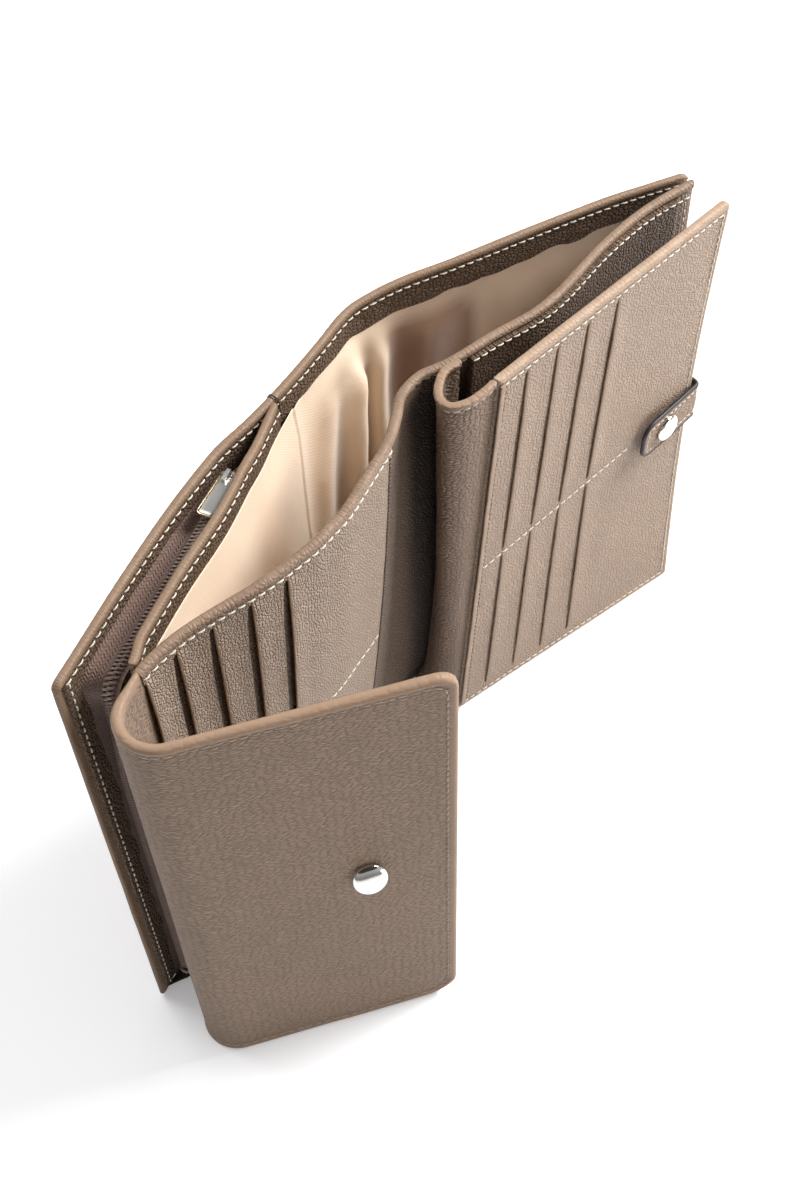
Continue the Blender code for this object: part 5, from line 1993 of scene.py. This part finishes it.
@dataclass
class ZipFastener(Workshop):
    """The zip: tapes, two interlocking coils, stop and pull, with the lining and floor of its pocket."""

    drop: float = 0.0074
    set_off: float = 0.0040
    tape_start: float = 0.0495
    corner_out: float = 0.1130
    corner_radius: float = 0.006
    foot: float = 0.0012
    bow: float = 0.0022
    tuck: float = 0.0065
    sag: float = 0.0009
    tape_in: float = 0.0011
    tape_half: float = 0.00022
    chain_foot: float = 0.012
    chain_start: float = 0.0005
    pitch: float = 0.00135
    coil_apart: float = 0.0006
    coil_wide: float = 0.00095
    coil_high: float = 0.00055
    wire: float = 0.00038
    per_turn: int = 9
    clip_wide: float = 0.002
    clip_high: float = 0.0013
    clip_wire: float = 0.00045
    clip_step: float = 0.0008
    pull_run: float = 0.00054
    pull_level: float = 0.00315
    pull_shift: float = 0.0007
    pull_tilt: float = math.radians(3)
    pull_long: float = 0.0155
    pull_half: float = 0.0029
    pull_tail: float = 0.0005
    pull_corner: float = 0.0017
    floor_end: float = 0.1128
    floor_slant: float = 0.0108
    floor_levels: tuple[float, float] = (0.0046, 0.0040)
    floor_in: float = 0.0012
    lining_start: float = 0.011
    lining_end: float = -0.0366
    frames: list[Frame] = field(default_factory=list)
    lengths: list[float] = field(default_factory=list)

    PLATE = ((0.0, -0.28), (0.12, -0.42), (0.5, -0.45), (0.5, 0.2), (0.35, 0.44), (0.12, 0.42), (0.0, 0.28))
    FACE = ((0.75, -0.3), (0.75, 0.3), (0.9, 0.36), (2.0, 0.4))

    def path(self) -> list[Frame]:
        """Frames along the zip as (centre, along, across), where across points to the inner wall.

        Returns:
            The frames.
        """
        inner, level = self.plan.inner, HEIGHT - self.drop
        near, far = (inner(-out, level) - self.set_off * outward(inner, -out, level)
                     for out in (self.tape_start, self.corner_out))
        along = (far - near).normalized()
        across = Vector((-along.y, along.x, 0))
        frames = [(near.lerp(far, i / 40), along, across) for i in range(41)]
        for angle in between(0.0, math.pi / 2, 10)[1:]:
            spoke = math.sin(angle) * along + math.cos(angle) * UP
            tangent = math.cos(angle) * along - math.sin(angle) * UP
            centre = far - self.corner_radius * UP + self.corner_radius * spoke
            frames.append((centre, tangent, across))
        last, down, _ = frames[-1]
        for height in between(last.z, self.foot, 60)[1:]:
            aside = self.bow * smooth(last.z - height, 0.0, 0.05)
            frames.append((Vector((last.x, last.y, height)) - across * aside, down, across))
        return frames

    def build(self) -> None:
        """Make the tapes, coils, stop, pull, lining and floor."""
        self.frames = self.path()
        self.lengths = lengths_along([centre for centre, _, _ in self.frames])
        for step in (self._tapes, self._coils, self._stop, self._pull, self._lining, self._floor):
            step()

    def at(self, run: float) -> Frame:
        """The frame at a length along the zip.

        Args:
            run: The length from the zip's start.

        Returns:
            The frame.
        """
        index, share = place_in(self.lengths, run)
        here, there = self.frames[index], self.frames[index + 1]
        return here[0].lerp(there[0], share), here[1].lerp(there[1], share).normalized(), here[2]

    def chain_end(self) -> float:
        """The length at which the coils end."""
        return self.lengths[-1] - self.chain_foot + self.foot

    def _reach(self, line: Line, place: Vector, way: Vector) -> float:
        """How far a wall's middle lies from a point, in a level direction.

        Args:
            line: The wall's line.
            place: The point.
            way: The direction.

        Returns:
            The distance.
        """
        low, high = 0.0, 0.03
        for _ in range(24):
            middle = (low + high) / 2
            there = place + middle * way
            beyond = (there.y - line(there.x, there.z).y) * way.y > 0
            low, high = (low, middle) if beyond else (middle, high)
        return low

    def _tapes(self) -> None:
        """The woven tapes on both sides of the coils."""
        centre, _, across = self.at(0.0)
        opening = Bend("left_leaf", "pocket_cover", tuple(centre - across * 1.0 * MM),
                       tuple(centre - across * 7.5 * MM))
        count, wide = 150, 8
        for name, line, sign, gap, loose, where in (("tape_inner", self.plan.inner, 1, 0.9, 0.3, "left_leaf"),
                                                    ("tape_outer", self.plan.cover, -1, 1.3, 1.0, opening)):
            points: list[Vector] = []
            places: list[tuple[float, float]] = []
            for layer in (self.tape_half, -self.tape_half):
                for run in between(0.0, self.lengths[-1], count):
                    centre, along, across = self.at(run)
                    up = across.cross(along)
                    up = up if up.z + 0.5 * abs(along.z) * (1 if up.x < 0 else -1) > 0 else -up
                    way = across * sign
                    far = self._reach(line, centre, way) - gap * MM
                    steep = smooth(HEIGHT - centre.z, 0.012, 0.030)
                    for share in between(0.0, 1.0, wide):
                        out = self.tape_in + (far - self.tape_in) * share
                        sag = -(self.sag + self.tuck * steep) * math.sin(math.pi * share) * loose
                        wave = 0.0002 * ripple(run, out, 0.012, 111.0)
                        points.append(centre + way * out + up * (layer + sag + wave - 0.0003))
                        places.append((run, out))
            tape = make_object(name, points, shell_faces(count + 1, wide + 1), self.finish.tape, places)
            self.set_in(tape, where, f"zip_{name}")

    def _coils(self) -> None:
        """Two coils whose turns interlock."""
        coil = Thread("zip_coils", self.finish.coil, sides=5)
        turns = int((self.chain_end() - self.chain_start) / self.pitch)
        for side, phase in ((1, 0.0), (-1, 0.5)):
            spots, ups = [], []
            for step in range(turns * self.per_turn):
                centre, along, across = self.at(self.chain_start + self.pitch * step / self.per_turn)
                up = across.cross(along)
                up = up if up.z - up.x * abs(along.z) > 0 else -up
                angle = math.tau * (step / self.per_turn + phase)
                sway = self.coil_apart * side + self.coil_wide * math.cos(angle)
                spots.append(centre + across * sway + up * self.coil_high * math.sin(angle))
                ups.append(up)
            coil.tube(spots, ups, [self.wire] * len(spots))
        self.set_in(coil.build(), "left_leaf", "zip_chain")

    def _stop(self) -> None:
        """The bottom stop: a bent clip round the coils' last turns."""
        centre, along, across = self.at(self.chain_end() + 0.5 * MM)
        out = along.cross(across)
        clip = Thread("zip_bottom_clip", self.finish.coil, sides=8)
        for shift in (0.0, self.clip_step):
            spots = [centre + along * shift + across * self.clip_wide * math.cos(a)
                     + out * self.clip_high * (math.sin(a) - 0.2) for a in between(0.0, math.pi, 10)]
            clip.tube(spots, [along] * len(spots), [self.clip_wire] * len(spots))
        self.set_in(clip.build(), "left_leaf", "zip_stop_bottom")

    def _pull_outline(self, inset: float) -> Pairs:
        """The pull's outline, drawn in from its edge: square at the slider and rounded at the tip.

        Args:
            inset: How far it is drawn in.

        Returns:
            The outline's points.
        """
        radius = max(self.pull_corner - inset, 0.4 * MM)
        x0, x1, y1 = -self.pull_tail + inset, self.pull_long - inset, self.pull_half - inset
        turns = between(0.0, math.pi / 2, 6)
        return [
            (x0, -y1),
            *((x1 - radius + radius * math.sin(a), -y1 + radius - radius * math.cos(a)) for a in turns),
            *((x1 - radius + radius * math.cos(a), y1 - radius + radius * math.sin(a)) for a in turns),
            (x0, y1),
        ]

    def _pull(self) -> None:
        """The pull: a plate with a gilt rim round a pale face."""
        centre, along, across = self.at(self.pull_run)
        tilt = self.pull_tilt
        pivot = centre + along * self.pull_shift + across * self.pull_shift + UP * self.pull_level
        forward = along * math.cos(tilt) + UP * math.sin(tilt)
        lift = UP * math.cos(tilt) - along * math.sin(tilt)
        side = lift.cross(forward)
        for name, levels, finish, nodes in (("pull_plate", self.PLATE, self.finish.gilt, ("zip_pull",)),
                                            ("pull_face", self.FACE, self.finish.nickel, ())):
            rings = [self._pull_outline(inset * MM) for inset, _ in levels]
            points = [pivot + forward * x + side * y + lift * rise * MM
                      for ring, (_, rise) in zip(rings, levels) for x, y in ring]
            count = len(rings[0])
            faces, last = ring_faces(len(rings), count), len(points) - count
            if nodes:
                faces += [(last + i, last + (i + 1) % count, (i + 1) % count, i) for i in range(count)]
            else:
                faces += [tuple(range(count - 1, -1, -1)), tuple(range(last, len(points)))]
            plate = make_object(name, points, faces, finish, sharp=45.0)
            self.set_in(plate, "zip_pull", *nodes, slot="zip_pull")

    def _lining(self) -> None:
        """The satin lining on the cover's side of the zip pocket."""
        def loose(offset: float) -> Offset:
            """An offset that billows a little."""
            return lambda k, h: offset + 0.0005 * (1 + ripple(k, h, 0.02, 121.0))

        start = -self.plan.half_span + self.lining_start
        lining = Panel("pocket_satin", self.plan.cover, start, self.lining_end, loose(0.00135),
                       loose(0.00095), self.finish.satin, low=3 * MM, high=HEIGHT - 12 * MM,
                       edge=0.0002, step=0.003, row_step=0.008).build()
        self.set_in(lining, TO_POCKET, "pocket_lining")

    def _floor(self) -> None:
        """The leather floor inside the zip pocket, which goes on to the pocket's slanted end."""
        inner = self.plan.inner
        points: list[Vector] = []
        places: list[tuple[float, float]] = []
        count, wide = 30, 6
        for level in self.floor_levels:
            for step in range(count + 1):
                for share in between(0.0, 1.0, wide):
                    end = self.floor_end + self.floor_slant * share
                    x = -end + (end - self.tape_start) * step / count
                    normal = outward(inner, x, level)
                    near = inner(x, level) - normal * self.floor_in
                    clear = (1.9 - 0.8 * smooth(-x, 0.1140, 0.1160)) * MM
                    far = self._reach(self.plan.cover, near, -normal) - clear
                    dip = 0.0034 * smooth(-x, end - 0.018, end - 0.005)
                    dip -= 0.0020 * smooth(-x, end - 0.005, end)
                    bulge = 0.0004 * math.sin(math.pi * share) - dip
                    points.append(near - normal * far * share + UP * bulge)
                    places.append((x, far * share))
        faces = shell_faces(count + 1, wide + 1)
        floor = make_object("pocket_floor_leather", points, faces, self.finish.facing, places)
        centre, across = inner(-0.08, 0), outward(inner, -0.08, 0)
        bend = Bend("left_leaf", "pocket_cover", tuple(centre - across * 1.5 * MM),
                    tuple(centre - across * 8 * MM))
        self.set_in(floor, bend, "pocket_floor")


@dataclass
class Snaps(Workshop):
    """The snap fasteners: domed caps that show, and the small parts behind them."""

    steps: int = 48
    flap_tilt: float = math.radians(23)
    flap_in: float = 0.0273
    flap_rise: float = 0.0056
    flap_stand: float = 0.0017
    strap_in: float = 0.0122
    strap_stand: float = 0.00115
    stud_stand: float = 0.0016
    flap_cap: tuple[float, float] = (0.00535, 0.0029)
    strap_cap: tuple[float, float] = (0.0052, 0.0025)
    socket: tuple[float, float] = (0.0046, 0.0005)
    stud: tuple[float, float] = (0.0044, 0.0010)

    PROFILE = ((0.90, 0.0), (0.97, 0.08), (1.0, 0.22), (0.985, 0.40), (0.94, 0.55), (0.87, 0.66),
               (0.76, 0.78), (0.6, 0.88), (0.42, 0.95), (0.22, 0.99))

    def _cap(self, name: str, node: str, body: str, seat: Vector, towards: Vector,
             size: tuple[float, float]) -> None:
        """A cap with a rounded brim and a low dome.

        Args:
            name: The piece's name.
            node: The node that it stands for.
            body: The body that it rides on.
            seat: The centre of its underside.
            towards: The way that it faces.
            size: Its radius and its height.
        """
        radius, dome = size
        turn = towards.to_track_quat("Z", "Y").to_matrix()
        points = [seat + turn @ Vector((radius * r * math.cos(a), radius * r * math.sin(a), dome * h))
                  for r, h in self.PROFILE for a in between(0.0, math.tau, self.steps)[:-1]]
        faces = ring_faces(len(self.PROFILE), self.steps)
        foot, top, last = len(points), len(points) + 1, len(points) - self.steps
        for step in range(self.steps):
            after = (step + 1) % self.steps
            faces += [(foot, after, step), (top, last + step, last + after)]
        cap = make_object(name, [*points, seat, seat + towards * dome], faces, self.finish.chrome, sharp=50.0)
        self.set_in(cap, body, node)

    def build(self) -> None:
        """Make both caps, the strap's socket and the page's stud."""
        plan = self.plan
        run = plan.flap_full() - self.flap_in
        way = outward(plan.flap, run, HEIGHT / 2)
        seat = plan.flap(run, HEIGHT / 2 + self.flap_rise) + way * (plan.flap_rim / 2 + self.flap_stand)
        turned = (way * math.cos(self.flap_tilt) + UP * math.sin(self.flap_tilt)).normalized()
        self._cap("flap_cap", "flap_snap_cap", "flap", seat, turned, self.flap_cap)
        run = plan.strap_full() - self.strap_in
        way, seat = -outward(plan.strap, run, plan.strap_height), plan.strap(run, plan.strap_height)
        self._cap("strap_socket", "strap_snap_socket", "strap", seat, -way, self.socket)
        self._cap("page_stud", "page_snap_stud", "page", seat - way * self.stud_stand, way, self.stud)
        self._cap("strap_cap", "strap_snap_cap", "strap", seat + way * self.strap_stand, way, self.strap_cap)


def dress_nodes(finish: Finishes) -> None:
    """Give the solids that still show their materials, and the metal ones soft edges.

    Args:
        finish: The materials.
    """
    dress = {"page_board": finish.board, "flap_board": finish.board, "zip_slider": finish.nickel,
             "cover_snap_stud": finish.chrome, "flap_snap_socket": finish.chrome}
    for name, material in dress.items():
        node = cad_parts[name]
        node.data.materials.clear()
        node.data.materials.append(material)
        if material is not finish.board:
            soften = node.modifiers.new("soft_edges", "BEVEL")
            soften.width = 0.12 * MM
            soften.segments = 2
            soften.limit_method = "ANGLE"
        log.info("%s: dressed", name)


@dataclass(frozen=True)
class Lamp:
    """A soft square lamp: where it hangs, its side and its power in watts."""

    name: str
    place: Triple
    size: float
    power: float


@dataclass
class Studio:
    """The pale floor, the soft lights and the camera."""

    place: Triple = (-0.2279, -0.2521, 0.5165)
    heading: tuple[float, float] = (0.7133, 0.7009)
    pitch: float = 0.92949
    roll: float = 0.04133
    lens: float = 48.0
    aim: Triple = (0.0, -0.03, 0.08)
    reach: float = 4.0
    lamps: tuple[Lamp, ...] = (
        Lamp("key", (0.95, -0.45, 1.10), 0.55, 34.0), Lamp("front", (0.40, -0.95, 0.10), 0.5, 2.2),
        Lamp("over", (-0.15, 0.75, 1.1), 0.7, 7.0))

    @staticmethod
    def _hang(name: str, data: ID) -> Object:
        """Put a camera, lamp or mesh in the scene.

        Args:
            name: The object's name.
            data: Its camera, lamp or mesh.

        Returns:
            The new object.
        """
        item = bpy.data.objects.new(name, data)
        bpy.context.scene.collection.objects.link(item)
        return item

    def camera(self) -> None:
        """Place the camera where the photograph was taken from."""
        across = Vector((self.heading[1], -self.heading[0], 0))
        ahead = Vector((self.heading[0], self.heading[1], 0))
        rise, dip = math.sin(self.pitch), math.cos(self.pitch)
        up, view = ahead * rise + UP * dip, ahead * dip - UP * rise
        c, s = math.cos(self.roll), math.sin(self.roll)
        right, top = across * c - up * s, across * s + up * c
        data = bpy.data.cameras.new("camera")
        data.lens, data.sensor_width, data.sensor_fit = self.lens, 36.0, "AUTO"
        data.clip_start, data.clip_end = 0.01, 20.0
        item = self._hang("camera", data)
        item.matrix_world = Matrix.Translation(self.place) @ Matrix((right, top, -view)).transposed().to_4x4()
        bpy.context.scene.camera = item

    def floor(self) -> None:
        """A wide pale floor that shows white to the camera and keeps a soft shadow."""
        r = self.reach
        mesh = bpy.data.meshes.new("floor")
        mesh.from_pydata([(-r, -r, 0), (r, -r, 0), (r, r, 0), (-r, r, 0)], [], [(0, 1, 2, 3)])
        material = Look("studio_floor", (0.86, 0.86, 0.87), 0.9).material()
        w, shader = Wiring(material.node_tree), material.node_tree.nodes["Principled BSDF"]
        paths = w.node("LightPath").outputs
        seen = w.math("MAXIMUM", paths["Is Camera Ray"], paths["Is Glossy Ray"])
        seen = w.math("MAXIMUM", seen, paths["Is Transmission Ray"])
        for label, value in (("Specular IOR Level", 0.1), ("Emission Color", (1, 1, 1, 1)),
                             ("Emission Strength", w.times(seen, 0.22))):
            w.put(value, shader.inputs[label])
        mesh.materials.append(material)
        self._hang("floor", mesh)

    def lights(self) -> None:
        """Soft key from the right, a low front lamp, one from above and an even world."""
        world = bpy.data.worlds.new("studio")
        world.use_nodes = True
        background = world.node_tree.nodes["Background"]
        background.inputs[0].default_value = (1, 1, 1, 1)
        w = Wiring(world.node_tree)
        ways = w.node("SeparateXYZ", Vector=w.node("TexCoord").outputs["Generated"]).outputs
        rise = w.ramp(ways[2], -0.1, 0.75, 0.28, 0.66)
        side = w.ramp(ways[0], -0.7, 0.9, 0.75, 1.15)
        dark = w.ramp(ways[2], 0.45, 0.62, 0.0, 0.92)
        path = w.node("LightPath").outputs
        overhead = w.rest(w.times(dark, path["Is Glossy Ray"]))
        strength = w.math("MAXIMUM", w.times(w.times(rise, side), overhead), path["Is Camera Ray"])
        w.put(strength, background.inputs[1])
        bpy.context.scene.world = world
        for lamp in self.lamps:
            data = bpy.data.lights.new(lamp.name, "AREA")
            data.shape, data.size, data.energy = "SQUARE", lamp.size, lamp.power
            item = self._hang(lamp.name, data)
            item.location = lamp.place
            item.rotation_euler = (Vector(self.aim) - Vector(lamp.place)).to_track_quat("-Z", "Y").to_euler()

    def build(self) -> None:
        """Set the stage."""
        self.camera()
        self.floor()
        self.lights()
        bpy.context.scene.view_settings.view_transform = "Standard"


def main() -> None:
    """Build every sub-assembly and report it."""
    logging.basicConfig(level=logging.INFO, format="%(name)s %(message)s")
    Studio().build()
    plan, finish = Plan(), Finishes.build()
    for part in (Covers, NotePocket, CardWall, CardPage, Flap, Strap, ZipFastener, Snaps):
        part(plan, finish).build()
    dress_nodes(finish)


if __name__ == "__main__":
    main()
